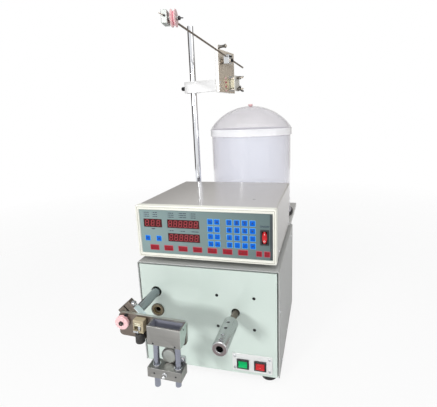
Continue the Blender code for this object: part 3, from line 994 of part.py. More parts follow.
def dancer_arm(bracket):
    # The sprung arm: a hub on the pivot, a thin rod through the hub and a pulley at its tip.
    arm = frame("arm_frame", (HUB_X, PIVOT_Y, PIVOT_Z), (0, 0, 0), bracket)
    half = HUB_SIZE / 2
    hub = piece("tension_arm", box(((-half, half), (-half, half), (-half, HUB_TOP))), BRIGHT_STEEL, parent=arm)
    soften(hub, 0.001)
    cut(hub, rods([(0, 0)], PIVOT_RADIUS + RUNNING, -half - 0.002, half + 0.002, "X"), "bore")
    rod = bar(ARM_RADIUS, -ARM_FRONT / math.cos(ARM_RISE), ARM_BACK / math.cos(ARM_RISE), 0.0005, "Y", 14)
    add(hub, rod, "rod", (0, 0, ARM_OFFSET), (-ARM_RISE, 0, 0))

    room = HUB_GAP - 2 * GAP
    length = SPRING_PITCH * SPRING_TURNS
    start = -half - GAP - (room + length) / 2
    steps = 9 * SPRING_TURNS
    helix = [(start + length * i / steps, SPRING_RADIUS * math.cos(2 * math.pi * SPRING_TURNS * i / steps),
              SPRING_RADIUS * math.sin(2 * math.pi * SPRING_TURNS * i / steps)) for i in range(steps + 1)]
    coil = bpy.data.curves.new("arm_spring", "CURVE")
    coil.dimensions = "3D"
    coil.bevel_depth = SPRING_WIRE / 2
    coil.bevel_resolution = 1
    coil.use_fill_caps = True
    print("least gap between the arm spring's turns:", round(1000 * least_gap(helix, steps // SPRING_TURNS), 2), "mm")
    line = coil.splines.new("POLY")
    line.points.add(len(helix) - 1)
    for point, place in zip(line.points, helix):
        point.co = (*place, 1.0)
    coil.materials.append(BRIGHT_STEEL)
    spring = bpy.data.objects.new("arm_spring", coil)
    spring.parent = arm
    bpy.context.scene.collection.objects.link(spring)

    tip = frame("tip_frame", tip_place(), (0, 0, TIP_TURN - BRACKET_TURN), arm)
    block = piece("arm_tip_block", box(((-TIP_WIDTH / 2, TIP_WIDTH / 2), (-TIP_DEPTH / 2, TIP_DEPTH / 2),
                                        (-TIP_HEIGHT / 2, TIP_HEIGHT / 2))), ALUMINIUM, parent=tip)
    soften(block, 0.0008)
    tool = piece("arm_tip_block_rod_hole", bar(ARM_RADIUS + GAP, -ARM_FRONT / math.cos(ARM_RISE) - GAP, 0.0, 0, "Y", 14),
                 None, (0, 0, ARM_OFFSET), (-ARM_RISE, 0, 0), arm)
    tool.hide_render = True
    tool.display_type = "WIRE"
    hole = block.modifiers.new("rod_hole", "BOOLEAN")
    hole.operation = "DIFFERENCE"
    hole.object = tool
    neck_end = TIP_WIDTH / 2 + TIP_NECK
    pulley_x = neck_end + GAP + TIP_PULLEY_WIDTH / 2
    end = pulley_x + TIP_PULLEY_WIDTH / 2 + GAP
    axle = turned([(0, 0.0), (0.0042, 0.0), (0.0042, neck_end), (TIP_AXLE_RADIUS, neck_end), (TIP_AXLE_RADIUS, end),
                   (0.0042, end), (0.0042, end + 0.003), (0, end + 0.003)], "X")
    add(block, axle, "axle", (0, TIP_AXLE_Y, 0))
    piece("tip_pulley", grooved_wheel(TIP_PULLEY_RADIUS, TIP_PULLEY_GROOVE, TIP_PULLEY_WIDTH, TIP_AXLE_RADIUS + RUNNING,
                                      "X"),
          PINK_CERAMIC, (pulley_x, TIP_AXLE_Y, 0), parent=tip)


def least_gap(points, turn):
    # Between points at least half a turn apart on a wire of SPRING_WIRE thickness.
    return min(math.dist(a, b) for i, a in enumerate(points) for b in points[i + turn // 2:]) - SPRING_WIRE


def tip_place():
    # The block's middle in the arm's frame, so that the rod ends inside it beside the pulley.
    along = -ARM_FRONT + TIP_ROD_DEPTH - TIP_DEPTH / 2
    return (TIP_SHIFT, along, ARM_OFFSET - along * math.tan(ARM_RISE) - 0.0075)


def felt_tensioner(bracket):
    middle_z = (STUD_UPPER_Z + STUD_LOWER_Z) / 2
    low, high = middle_z - FELT_HEIGHT / 2, middle_z + FELT_HEIGHT / 2
    start = TENSION_FACE_X + GAP
    studs = [(STUD_Y, STUD_UPPER_Z), (STUD_Y, STUD_LOWER_Z)]
    felt = piece("felt_pad", extruded(rounded(STUD_Y - FELT_WIDTH / 2, STUD_Y + FELT_WIDTH / 2, low, high, 0.004),
                                      start, start + FELT_THICKNESS, "X"), FELT, parent=bracket)
    soften(felt, 0.0008)
    face = start + FELT_THICKNESS + GAP
    low, high = middle_z - PRESS_HEIGHT / 2, middle_z + PRESS_HEIGHT / 2
    press = piece("press_plate", extruded(rounded(STUD_Y - PRESS_WIDTH / 2, STUD_Y + PRESS_WIDTH / 2, low, high, 0.004),
                                          face, face + PRESS_SHEET, "X"), BRIGHT_STEEL, parent=bracket)
    soften(press, 0.0005)
    cut(press, rods(studs, STUD_RADIUS + GAP, face - 0.002, face + PRESS_SHEET + 0.002, "X"), "studs")
    for label, z, lean in (("upper", STUD_UPPER_Z, 20), ("lower", STUD_LOWER_Z, -35)):
        wing_nut(label, bracket, (TENSION_FACE_X + WING_OFFSET, STUD_Y, z), math.radians(lean))


def wing_nut(label, bracket, place, lean):
    sleeve = PRESS_SHEET + FELT_THICKNESS + 3 * GAP - WING_OFFSET
    profile = [(STUD_RADIUS + RUNNING, sleeve), (WING_HUB_RADIUS - 0.0008, sleeve), (WING_HUB_RADIUS - 0.0008, 0.0),
               (WING_HUB_RADIUS, 0.0), (WING_HUB_RADIUS, WING_HUB_LENGTH), (STUD_RADIUS + RUNNING, WING_HUB_LENGTH)]
    nut = piece(f"wing_nut_{label}", turned(profile, "X", SMALL_SEGMENTS), BRIGHT_STEEL, place, (lean, 0, 0), bracket)
    root, tip = WING_HUB_RADIUS - 0.0015, WING_SPAN / 2
    wings = bmesh.new()
    for sign in (-1, 1):
        outline = [(0.001, root), (0.005, tip * 0.75), (0.007, tip), (WING_HEIGHT, tip), (WING_HEIGHT + 0.001, tip * 0.75),
                   (WING_HUB_LENGTH - 0.001, root)]
        near = [wings.verts.new((x, sign * y, -WING_THICKNESS / 2)) for x, y in outline]
        far = [wings.verts.new((x, sign * y, WING_THICKNESS / 2)) for x, y in outline]
        wings.faces.new(near)
        wings.faces.new(far)
        for i, _ in enumerate(outline):
            j = (i + 1) % len(outline)
            wings.faces.new((near[i], near[j], far[j], far[i]))
    add(nut, wings, "wings", place, (lean, 0, 0))


def shelf_and_bucket():
    shelf = piece("bucket_shelf", box(((-SHELF_HALF_WIDTH, SHELF_HALF_WIDTH), (SHELF_FRONT, SHELF_BACK),
                                       (SHELF_Z, SHELF_TOP))), GREY_PAINT, smooth=False)
    lip_low = SHELF_TOP - SHELF_LIP
    behind = BACK_Y + GAP
    sheet = SHELF_LIP_SHEET
    add(shelf, box(((-SHELF_HALF_WIDTH, SHELF_HALF_WIDTH), (SHELF_BACK - sheet, SHELF_BACK), (lip_low, SHELF_TOP - 0.001))),
        "back_lip")
    add(shelf, box(((-SHELF_HALF_WIDTH, -SHELF_HALF_WIDTH + sheet), (behind, SHELF_BACK), (lip_low, SHELF_TOP - 0.001)),
                   ((SHELF_HALF_WIDTH - sheet, SHELF_HALF_WIDTH), (behind, SHELF_BACK), (lip_low, SHELF_TOP - 0.001))),
        "side_lips")
    add(shelf, box(((-GUSSET_X - GUSSET_SHEET, GUSSET_X + GUSSET_SHEET), (behind, behind + GUSSET_SHEET),
                    (CABINET_HEIGHT - GUSSET_DROP, SHELF_TOP - 0.001))), "wall_flange")
    gusset = [(behind, SHELF_TOP - 0.001), (behind + GUSSET_REACH, SHELF_TOP - 0.001),
              (behind + GUSSET_REACH, SHELF_TOP - 0.018), (behind + 0.012, CABINET_HEIGHT - GUSSET_DROP),
              (behind, CABINET_HEIGHT - GUSSET_DROP)]
    for label, x in (("left", -GUSSET_X), ("right", GUSSET_X)):
        add(shelf, extruded(gusset, x - GUSSET_SHEET / 2, x + GUSSET_SHEET / 2, "X"), "gusset_" + label)

    base_z = SHELF_TOP + GAP
    rim = 0.002
    piece("bucket_base", turned([
        (0, 0), (BUCKET_BASE_RADIUS - rim, 0), (BUCKET_BASE_RADIUS, rim), (BUCKET_BASE_RADIUS, BUCKET_BASE_HEIGHT - rim),
        (BUCKET_BASE_RADIUS - rim, BUCKET_BASE_HEIGHT), (0, BUCKET_BASE_HEIGHT)], "Z", BUCKET_SEGMENTS),
        BLACK_PLASTIC, (BUCKET_X, BUCKET_Y, base_z))
    wall_z = base_z + BUCKET_BASE_HEIGHT + GAP
    inner = BUCKET_RADIUS - BUCKET_WALL
    foot = 0.004
    piece("bucket_wall", turned([
        (inner, 0), (BUCKET_RADIUS + foot, 0), (BUCKET_RADIUS + foot, foot), (BUCKET_RADIUS, foot),
        (BUCKET_RADIUS, BUCKET_TOP - wall_z), (inner, BUCKET_TOP - wall_z)], "Z", BUCKET_SEGMENTS),
        CLEAR_PLASTIC, (BUCKET_X, BUCKET_Y, wall_z))

    outside = [(LID_RADIUS, LID_SKIRT_BOTTOM), (LID_RADIUS, LID_SHOULDER)] + dome(LID_RADIUS, LID_APEX)
    inside = dome(LID_RADIUS - LID_WALL, LID_APEX - LID_WALL)[::-1]
    skirt_inner = BUCKET_RADIUS + 0.0006
    ledge = BUCKET_TOP + GAP
    eye = [(EYE_RADIUS, LID_APEX + 0.0008), (EYE_RADIUS + 0.0006, LID_APEX + EYE_RISE - 0.0015),
           (EYE_RADIUS - 0.001, LID_APEX + EYE_RISE), (EYE_BORE + 0.0012, LID_APEX + EYE_RISE), (EYE_BORE, LID_APEX + EYE_RISE - 0.0012)]
    neck = [(EYE_BORE, LID_APEX - LID_WALL - 0.0005)]
    lid = outside + eye + neck + inside + [(LID_RADIUS - LID_WALL - 0.004, ledge), (skirt_inner, ledge),
                                           (skirt_inner, LID_SKIRT_BOTTOM)]
    piece("bucket_lid", turned(lid, "Z", BUCKET_SEGMENTS), CLEAR_PLASTIC, (BUCKET_X, BUCKET_Y, 0))


def dome(radius, apex, steps=7):
    # A shallow cap from just inside the shoulder to just outside the eyelet.
    rise = apex - LID_SHOULDER
    sphere = (radius ** 2 + rise ** 2) / (2 * rise)
    points = []
    for step in range(1, steps + 1):
        r = radius + (EYE_RADIUS - radius) * step / steps
        points.append((r, apex - sphere + math.sqrt(sphere ** 2 - r ** 2)))
    return points


cabinet()
mechanism()
traverse()
switches()
counter_box()
wire_guide()
post_and_bracket()
shelf_and_bucket()
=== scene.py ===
# A coil winding machine, dressed and lit for one studio picture. Metres, +Z up, front towards -Y.
import math
from functools import partial

import bmesh
import bpy
from mathutils import Matrix, Vector


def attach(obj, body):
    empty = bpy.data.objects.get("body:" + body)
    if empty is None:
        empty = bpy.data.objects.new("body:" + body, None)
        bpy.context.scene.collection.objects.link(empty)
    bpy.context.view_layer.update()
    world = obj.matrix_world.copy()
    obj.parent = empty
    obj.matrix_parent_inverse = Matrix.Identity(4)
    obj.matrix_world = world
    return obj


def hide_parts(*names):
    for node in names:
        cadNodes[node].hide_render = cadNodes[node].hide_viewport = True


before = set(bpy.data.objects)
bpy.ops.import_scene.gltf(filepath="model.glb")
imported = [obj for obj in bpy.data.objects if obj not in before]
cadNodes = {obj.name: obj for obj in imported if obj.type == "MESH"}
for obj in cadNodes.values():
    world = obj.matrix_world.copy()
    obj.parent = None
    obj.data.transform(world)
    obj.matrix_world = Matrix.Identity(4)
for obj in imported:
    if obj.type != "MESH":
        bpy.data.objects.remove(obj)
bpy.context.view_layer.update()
print("frame loaded:", len(cadNodes), "nodes")

scene = bpy.context.scene
move = Matrix.Translation


def turn(degrees, axis):
    return Matrix.Rotation(math.radians(degrees), 4, axis)


def mm(*points):
    # Points written in millimetres, as metres
    return [tuple(round(value * 0.001, 8) for value in point) for point in points]


# Where groups of pieces sit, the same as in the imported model
cabinet = {"front": -0.155, "back": 0.155, "half": 0.150}
spindleAt, traverseAt, postAt = (0.061, 0.0, 0.140), (-0.111, 0.0, 0.1705), (-0.1228, 0.170, 0.0)
spindleFrame, traverseFrame, postFrame = move(spindleAt), move(traverseAt), move(postAt)
guideFrame = traverseFrame @ turn(2.5, "Y")
clampFrame = guideFrame @ turn(45, "Y")
bracketFrame = postFrame @ turn(-14, "Z")
armRise, armReach = math.radians(10.3), 0.249
armFrame = bracketFrame @ move((0.103, 0.0121, 0.669))
tipFrame = armFrame @ move((0.0030, -armReach, 0.0012 + armReach * math.tan(armRise))) @ turn(24, "Z")
bucketFrame = move((0.018, 0.257, 0.0))


# Finishes
class Signal:
    # One output socket of a node tree. Sums on it add Math nodes.
    def __init__(self, nodes, socket):
        self.nodes, self.socket = nodes, socket

    def sum(self, operation, first, second):
        return self.nodes.node("Math", {"operation": operation}, {0: first, 1: second})

    def __add__(self, other): return self.sum("ADD", self, other)
    def __radd__(self, other): return self.sum("ADD", other, self)
    def __sub__(self, other): return self.sum("SUBTRACT", self, other)
    def __rsub__(self, other): return self.sum("SUBTRACT", other, self)
    def __mul__(self, other): return self.sum("MULTIPLY", self, other)
    def __rmul__(self, other): return self.sum("MULTIPLY", other, self)


class Nodes:
    # A node tree and the node in it that the looks go to
    def __init__(self, tree, target):
        self.tree, self.target = tree, tree.nodes[target]

    def feed(self, socket, value, node=None):
        target = (node or self.target).inputs[socket]
        if isinstance(value, Signal):
            self.tree.links.new(value.socket, target)
        else:
            target.default_value = value

    def node(self, kind, settings=None, sockets=None, output=0):
        made = self.tree.nodes.new("ShaderNode" + kind)
        for key, value in (settings or {}).items():
            setattr(made, key, value)
        for key, value in (sockets or {}).items():
            self.feed(key, value, made)
        return Signal(self, made.outputs[output])

    def where(self):
        return self.node("TexCoord", output=3)

    def along(self, axis):
        return self.node("SeparateXYZ", None, {0: self.where()}, "XYZ".index(axis))

    def ramp(self, value, low, high):
        return self.node("MapRange", None, {"Value": value, "From Min": low, "From Max": high})

    def noise(self, scale, detail=2.0, stretch=(1.0, 1.0, 1.0)):
        spread = self.node("VectorMath", {"operation": "MULTIPLY"}, {0: self.where(), 1: stretch})
        return self.node("TexNoise", None, {"Vector": spread, "Scale": scale, "Detail": detail})

    def mix(self, factor, first, second):
        return self.node("Mix", {"data_type": "RGBA"}, {0: factor, 6: first, 7: second}, 2)


class Finish(Nodes):
    def __init__(self, name, colour, roughness, metallic=0.0, coat=0.0, specular=0.5):
        self.colour = colour
        self.material = bpy.data.materials.new(name)
        self.material.use_nodes = True
        self.material.diffuse_color = colour
        super().__init__(self.material.node_tree, "Principled BSDF")
        for socket, value in (("Base Color", colour), ("Roughness", roughness), ("Metallic", metallic),
                              ("Coat Weight", coat), ("Coat Roughness", 0.08),
                              ("Specular IOR Level", specular)):
            self.feed(socket, value)

    def tones(self, factor, low, high):
        # The base colour, from one shade of it to another
        self.feed("Base Color", self.mix(factor, shade(self.colour, low), shade(self.colour, high)))

    def bump(self, height, strength, distance):
        self.feed("Normal", self.node("Bump", None, {"Strength": strength, "Distance": distance,
                                                     "Height": height}))


def seen(colour):
    # A colour as a screen shows it, 0 to 255, for a shader
    return tuple(c / 255 / 12.92 if c < 10.3 else ((c / 255 + 0.055) / 1.055) ** 2.4 for c in colour) + (1.0,)


def shade(colour, amount):
    return tuple(min(1.0, c * amount) for c in colour[:3]) + (1.0,)


def paint(name, colour, roughness, coat, cloud=0.02, peel=420.0, peelDepth=0.08):
    # Sprayed paint: orange peel, faint clouds of tone, and dust that dulls it here and there
    made = Finish(name, seen(colour), roughness, coat=coat)
    made.tones(made.noise(9.0, 3.0), 1 - cloud, 1 + cloud)
    made.feed("Roughness", roughness - 0.05 + 0.1 * made.noise(40.0, 4.0))
    made.bump(made.noise(peel, 2.0), peelDepth, 0.0004)
    return made.material


def machined(name, colour, roughness, stretch, contrast, depth=0.12):
    # Metal with the tool's lines along the directions that stretch is low in
    made = Finish(name, seen(colour), roughness, 1.0)
    lines = made.noise(1.0, 3.0, stretch)
    made.tones(lines * 0.6 + made.noise(30.0, 3.0) * 0.4, 1 - contrast, 1 + contrast)
    made.feed("Roughness", roughness - contrast * 0.5 + contrast * lines)
    made.bump(lines, depth, 0.0002)
    return made.material


def paintedLightMetal(name, face, edge, roughness, stretch, beyond=(), core=None):
    # Metal with painted light, in two tones: the face's beyond every plane (axis, sign, distance), or outside
    # a core (axis, middle, half thickness), and the edge's elsewhere, so that faces are painted lighter or
    # darker as if lit or shaded
    made = Finish(name, seen(face), roughness, 1.0)
    paintedLightMask = 1.0
    for axis, sign, plane in beyond:
        outwards = made.along(axis) * sign
        paintedLightMask = paintedLightMask * made.node("Math", {"operation": "GREATER_THAN"}, {0: outwards, 1: plane})
    if core:
        axis, middle, half = core
        paintedLightMask = 1.0 - made.node("Math", {"operation": "COMPARE"}, {0: made.along(axis), 1: middle, 2: half})
    lines = made.noise(1.0, 3.0, stretch)
    tone = made.mix(lines, shade(seen(face), 0.92), shade(seen(face), 1.08))
    # Painted light: one tone stands for lit faces, the other for shaded ones
    made.feed("Base Color", made.mix(paintedLightMask, seen(edge), tone))
    made.feed("Roughness", roughness + 0.08 * lines)
    made.bump(lines, 0.05, 0.0002)
    return made.material


def moulded(name, colour, roughness, coat=0.0, specular=0.5, grain=1400.0, grainDepth=0.08):
    made = Finish(name, seen(colour), roughness, coat=coat, specular=specular)
    fine = made.noise(grain, 2.0)
    made.tones(made.noise(14.0, 2.0), 0.96, 1.04)
    made.feed("Roughness", roughness - 0.04 + 0.08 * fine)
    made.bump(fine, grainDepth, 0.0002)
    return made.material


def milky(name, colour, roughness, density, rimDensity, edge=None, paintedGlow=0.0):
    # Translucent plastic: clearer where it faces the eye, denser towards its rim, with painted light: a
    # whiter rim tone as a painted rim highlight, vertical white streaks as painted highlights, and a painted
    # glow
    made = Finish(name, seen(colour), roughness, coat=0.6)
    # Painted highlights: vertical white streaks over the colour, which also make it a little denser and
    # rougher
    paintedStreaks = made.noise(1.0, 2.0, (26.0, 26.0, 1.5))
    # Painted rim highlight: towards the silhouette the colour goes to the edge tone
    rim = made.node("LayerWeight", None, {"Blend": 0.35}, 1)
    tone = made.mix(rim, seen(colour), seen(edge or colour))
    made.feed("Base Color", made.mix(paintedStreaks * 0.3, tone, (1.0, 1.0, 1.0, 1.0)))
    made.feed("Alpha", density + rimDensity * rim + 0.06 * paintedStreaks)
    made.feed("Roughness", roughness + 0.08 * paintedStreaks)
    # Painted glow: the plastic's own colour glows, though it is no lamp
    made.feed("Emission Color", seen(colour))
    made.feed("Emission Strength", paintedGlow)
    return made.material


def printedFilm(name, left, right, roughness):
    # The key panel's film: paler at the left and darker towards the right, a painted light gradient, with a
    # fine matt grain
    made = Finish(name, seen(left), roughness, coat=0.05, specular=0.25)
    # Painted light: the colour goes from the paler left tone to the darker right tone across X
    made.feed("Base Color", made.mix(made.ramp(made.along("X"), -0.14, 0.13), seen(left), seen(right)))
    made.bump(made.noise(2200.0, 2.0), 0.06, 0.0002)
    made.feed("Roughness", roughness - 0.04 + 0.08 * made.noise(60.0, 3.0))
    return made.material


def feltFinish(name, colour):
    made = Finish(name, seen(colour), 0.95)
    fibres = made.noise(500.0, 4.0, (1.0, 3.0, 1.0))
    made.tones(fibres, 0.8, 1.08)
    made.feed("Roughness", 0.9 + 0.1 * fibres)
    made.bump(fibres, 0.6, 0.0006)
    return made.material


# The finishes under the slots that they belong to, each a screen colour, a roughness and the rest
palette = {
    "green_paint": {"green": paint("greenPaint", (203, 216, 209), 0.30, 0.35, peelDepth=0.10)},
    "grey_paint": {"grey": paint("greyPaint", (172, 174, 172), 0.34, 0.30, cloud=0.03, peelDepth=0.12),
                   "shelfPaint": paint("shelfPaint", (208, 208, 204), 0.34, 0.20)},
    "box_paint": {"lid": paint("boxPaint", (202, 199, 196), 0.30, 0.45, peel=600.0, peelDepth=0.03)},
    # The film paler at the left and darker at the right: painted light
    "panel_film": {"film": printedFilm("panelFilm", (134, 155, 155), (98, 116, 116), 0.42),
                   "filmEdge": moulded("panelFilmEdge", (54, 62, 66), 0.42),
                   "blue": moulded("blueKeyFilm", (0, 96, 206), 0.35, specular=0.10),
                   "blueEdge": moulded("blueKeyEdge", (96, 172, 228), 0.40, specular=0.2),
                   "red": moulded("redKeyFilm", (148, 34, 46), 0.35, specular=0.10),
                   "redEdge": moulded("redKeyEdge", (180, 92, 104), 0.40, specular=0.2),
                   "blueInk": moulded("darkInk", (24, 40, 62), 0.50),
                   "redInk": moulded("redKeyInk", (110, 10, 26), 0.50)},
    "cream_plastic": {"cream": moulded("creamPlastic", (236, 236, 226), 0.38, coat=0.1),
                      # A darker cream for the bezel's groove: painted shade
                      "creamGroovePaintedShade": moulded("creamGroovePaintedShade", (176, 174, 162), 0.5)},
    "aluminium": {"alloy": machined("milledAluminium", (146, 145, 142), 0.34, (9, 420, 420), 0.14),
                  "alloyBright": machined("brightAluminium", (238, 238, 238), 0.32, (12, 300, 300), 0.06),
                  # The plate's thin edges painted near white as a painted highlight, its broad faces beige
                  "tensionAlloy": paintedLightMetal("plateWithPaintedEdgeHighlight", (222, 213, 200), (255, 254, 252), 0.34, (300, 300, 9),
                                         core=("X", 0.08305, 0.00435)),
                  # The guide plate's front face dark brown, its edges painted pale green-grey as a painted
                  # highlight
                  "guidePlateAlloy": paintedLightMetal("guidePlateFace", (122, 113, 105), (192, 198, 192), 0.36,
                                            (300, 300, 9), [("Y", -1.0, 0.2566)]),
                  # The trough's right face painted pale green, a painted reflection of the green panel
                  "troughAlloy": paintedLightMetal("troughFace", (144, 143, 140), (200, 212, 206), 0.34, (9, 420, 420),
                                        [("X", -1.0, -0.1081)]),
                  # The clamp's upper right face painted bright white as a painted highlight, against its dark
                  # brown tone elsewhere
                  "clampAlloy": paintedLightMetal("clampFace", (232, 244, 246), (122, 113, 105), 0.32, (60, 300, 60),
                                       [("Z", 1.0, 0.0134), ("X", 1.0, -0.0105)]),
                  # The holder's front end face painted darker brown, painted shade on it
                  "holderAlloy": paintedLightMetal("holderTurned", (182, 184, 184), (134, 124, 124), 0.17, (12, 700, 12),
                                        [("Y", 1.0, 0.00015)]),
                  "troughInside": moulded("troughInside", (140, 142, 154), 0.30, coat=0.3, grainDepth=0.02),
                  "tipAlloy": machined("tippedAluminium", (176, 180, 176), 0.36, (60, 60, 160), 0.04, 0.02)},
    "bright_steel": {"alloyPlate": machined("rolledPlate", (122, 113, 105), 0.36, (300, 300, 9), 0.10),
                     "pressPaint": moulded("pressPlatePaint", (226, 224, 216), 0.40),
                     "nutSteel": machined("nutSteel", (118, 115, 110), 0.30, (60, 60, 60), 0.10, 0.03),
                     "steel": machined("groundSteel", (150, 153, 166), 0.20, (30, 30, 260), 0.08),
                     "wireSteel": machined("springWire", (126, 116, 106), 0.32, (40, 40, 40), 0.12),
                     "zinc": machined("zincPlate", (206, 208, 210), 0.24, (90, 90, 90), 0.10)},
    "grey_steel": {"steelAlongY": machined("groundSteelLong", (150, 156, 160), 0.20, (60, 500, 60), 0.10),
                   "darkSteel": machined("blackenedSteel", (58, 58, 60), 0.42, (60, 60, 60), 0.20),
                   "turnedAlloy": machined("turnedAluminium", (196, 196, 198), 0.26, (12, 700, 12), 0.08),
                   "bronze": machined("bushBronze", (150, 136, 104), 0.40, (20, 500, 20), 0.16),
                   "bush": machined("bushRim", (104, 98, 84), 0.42, (20, 500, 20), 0.16)},
    "chrome": {"chrome": machined("chromePlate", (226, 228, 232), 0.07, (8, 8, 30), 0.03, 0.02)},
    "black_rubber": {"rubber": moulded("blackRubber", (32, 32, 32), 0.70, grain=900.0, grainDepth=0.3)},
    "black_plastic": {"black": moulded("blackPlastic", (30, 31, 34), 0.42),
                      "knob": moulded("knobPlastic", (46, 44, 42), 0.45),
                      "baseBlack": moulded("bucketBaseBlack", (18, 18, 20), 0.50, specular=0.2)},
    "green_plastic": {"greenKey": moulded("greenRocker", (0, 176, 98), 0.24, 0.05, 0.12, grainDepth=0.02)},
    "red_plastic": {"redKey": moulded("redRocker", (192, 30, 36), 0.24, 0.10, 0.25, grainDepth=0.02),
                    "white": moulded("whiteInk", (238, 236, 232), 0.45)},
    "board_green": {"window": moulded("windowGlass", (62, 2, 8), 0.16, 0.08, 0.20, grainDepth=0.0),
                    "segment": moulded("unlitSegment", (170, 42, 52), 0.35),
                    "board": moulded("boardGreen", (40, 96, 60), 0.5)},
    "pink_ceramic": {"pink": moulded("pinkCeramic", (240, 196, 198), 0.24, 0.4, grain=300.0, grainDepth=0.01),
                     "rose": moulded("roseCeramic", (190, 78, 104), 0.30, 0.2, grain=300.0, grainDepth=0.01)},
    "beige_plastic": {"beige": moulded("beigePlastic", (176, 164, 136), 0.48)},
    "felt": {"felt": feltFinish("pressedFelt", (238, 232, 206))},
    # The bucket's plastics carry painted light: the wall a painted warm rim highlight and a painted glow, the
    # band a painted glow
    "clear_plastic": {"milk": milky("milkyPlastic", (222, 217, 224), 0.20, 0.14, 0.30),
                      "milkWall": milky("milkyWall", (214, 218, 238), 0.20, 0.20, 0.26, (240, 232, 228),
                                        0.10),
                      "milkBand": milky("milkyBand", (252, 252, 255), 0.14, 0.60, 0.30, paintedGlow=0.12)},
}
finishes = {key: (made, slot) for slot, group in palette.items() for key, made in group.items()}
print("finishes:", len(finishes))


# Shapes: each returns a bmesh
def meshOf(name, shape):
    data = bpy.data.meshes.new(name)
    shape.to_mesh(data)
    shape.free()
    return data


def placed(name, data, at=None):
    made = bpy.data.objects.new(name, data)
    scene.collection.objects.link(made)
    if at:
        made.matrix_world = at
    return made


def joined(parts):
    # One form of several, each with the place that it goes to, or None
    whole = bmesh.new()
    for shape, matrix in parts:
        if matrix:
            bmesh.ops.transform(shape, matrix=matrix, verts=shape.verts)
        passing = meshOf("passing", shape)
        whole.from_mesh(passing)
        bpy.data.meshes.remove(passing)
    return whole


def ring(mesh, points):
    return [mesh.verts.new(point) for point in points]


def skin(mesh, low, high):
    for i, _ in enumerate(low):
        j = (i + 1) % len(low)
        mesh.faces.new((low[i], low[j], high[j], high[i]))


def lofted(loops, closed=False):
    # A skin over loops of points, closed into a ring or with a cap at each end
    mesh = bmesh.new()
    rings = [ring(mesh, loop) for loop in loops]
    for low, high in zip(rings, rings[1:] + (rings[:1] if closed else [])):
        skin(mesh, low, high)
    if not closed:
        mesh.faces.new(rings[0])
        mesh.faces.new(rings[-1])
    return mesh


def supported(profile):
    # More rings close to the ends of long runs, so that the shading of a rounded end stays there
    points = [profile[0]]
    for (r, along), (farR, farAlong) in zip(profile, profile[1:]):
        length = math.hypot(farR - r, farAlong - along)
        if length > 0.004 and r > 0 and farR > 0:
            for share in (0.0004 / length, 1 - 0.0004 / length):
                points.append((r + (farR - r) * share, along + (farAlong - along) * share))
        points.append((farR, farAlong))
    return points


def lathe(profile, axis="Z", segments=64):
    # Points are (radius, along the axis). Ends on the axis close the form.
    profile = supported(profile)
    solid = profile[0][0] == 0
    angles = [2 * math.pi * i / segments for i in range(segments)]
    mesh = lofted([[(r * math.cos(a), r * math.sin(a), along) for a in angles]
                   for r, along in (profile[1:-1] if solid else profile)], closed=not solid)
    if axis != "Z":
        angle, about = {"X": (math.pi / 2, "Y"), "Y": (-math.pi / 2, "X")}[axis]
        bmesh.ops.rotate(mesh, verts=mesh.verts, matrix=Matrix.Rotation(angle, 3, about))
    return mesh


def disc(inner, outer, low, high, axis, segments):
    # A plain ring, or a disc where the inner radius is 0, in millimetres
    return lathe(mm((inner, low), (outer, low), (outer, high), (inner, high)), axis, segments)


def rounded(width, height, radius, steps=5, centre=(0.0, 0.0)):
    points = []
    for sideways, upwards, first in ((1, 1, 0), (-1, 1, 90), (-1, -1, 180), (1, -1, 270)):
        for step in range(steps + 1):
            angle = math.radians(first + 90 * step / steps)
            points.append((centre[0] + sideways * (width / 2 - radius) + radius * math.cos(angle),
                           centre[1] + upwards * (height / 2 - radius) + radius * math.sin(angle)))
    return points


def prism(outline, start, end, axis="Y"):
    spots = {"X": lambda a, b, c: (c, a, b), "Y": lambda a, b, c: (a, c, b),
             "Z": lambda a, b, c: (a, b, c)}[axis]
    return lofted([[spots(a, b, along) for a, b in outline] for along in (start, end)])


def pad(width, height, rise, corner, crown):
    # A pillow facing -Y that stands on Y = 0
    loops = []
    for inset, out in ((0.0, 0.0), (0.0, rise - crown), (crown * 0.4, rise - crown * 0.3), (crown, rise)):
        outline = rounded(width - 2 * inset, height - 2 * inset, max(corner - inset, 0.0002), 4)
        loops.append([(x, -out, z) for x, z in outline])
    return lofted(loops)


def softened(node, matrix=None):
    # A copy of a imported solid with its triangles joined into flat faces, ready for a bevel
    mesh = bmesh.new()
    mesh.from_mesh(cadNodes[node].data)
    bmesh.ops.remove_doubles(mesh, verts=mesh.verts, dist=0.000002)
    bmesh.ops.dissolve_limit(mesh, angle_limit=math.radians(1.0), verts=mesh.verts, edges=mesh.edges)
    if matrix:
        bmesh.ops.transform(mesh, matrix=matrix.inverted(), verts=mesh.verts)
    return mesh


def shapeOf(made):
    # An object's shape with its modifiers, as a bmesh. The object goes.
    bpy.context.view_layer.update()
    mesh = bmesh.new()
    mesh.from_mesh(made.evaluated_get(bpy.context.evaluated_depsgraph_get()).to_mesh())
    bpy.data.objects.remove(made)
    return mesh


def carved(shape, *tools):
    # The shape with each tool cut out of it
    solids = []
    for solid in (shape, *tools):
        bmesh.ops.recalc_face_normals(solid, faces=solid.faces)
        solids.append(placed("carving", meshOf("carving", solid)))
    for helper in solids[1:]:
        change = solids[0].modifiers.new("cut", "BOOLEAN")
        change.operation, change.object, change.solver = "DIFFERENCE", helper, "EXACT"
    meshes = [made.data for made in solids]
    result = shapeOf(solids[0])
    for helper in solids[1:]:
        bpy.data.objects.remove(helper)
    for data in meshes:
        bpy.data.meshes.remove(data)
    return result


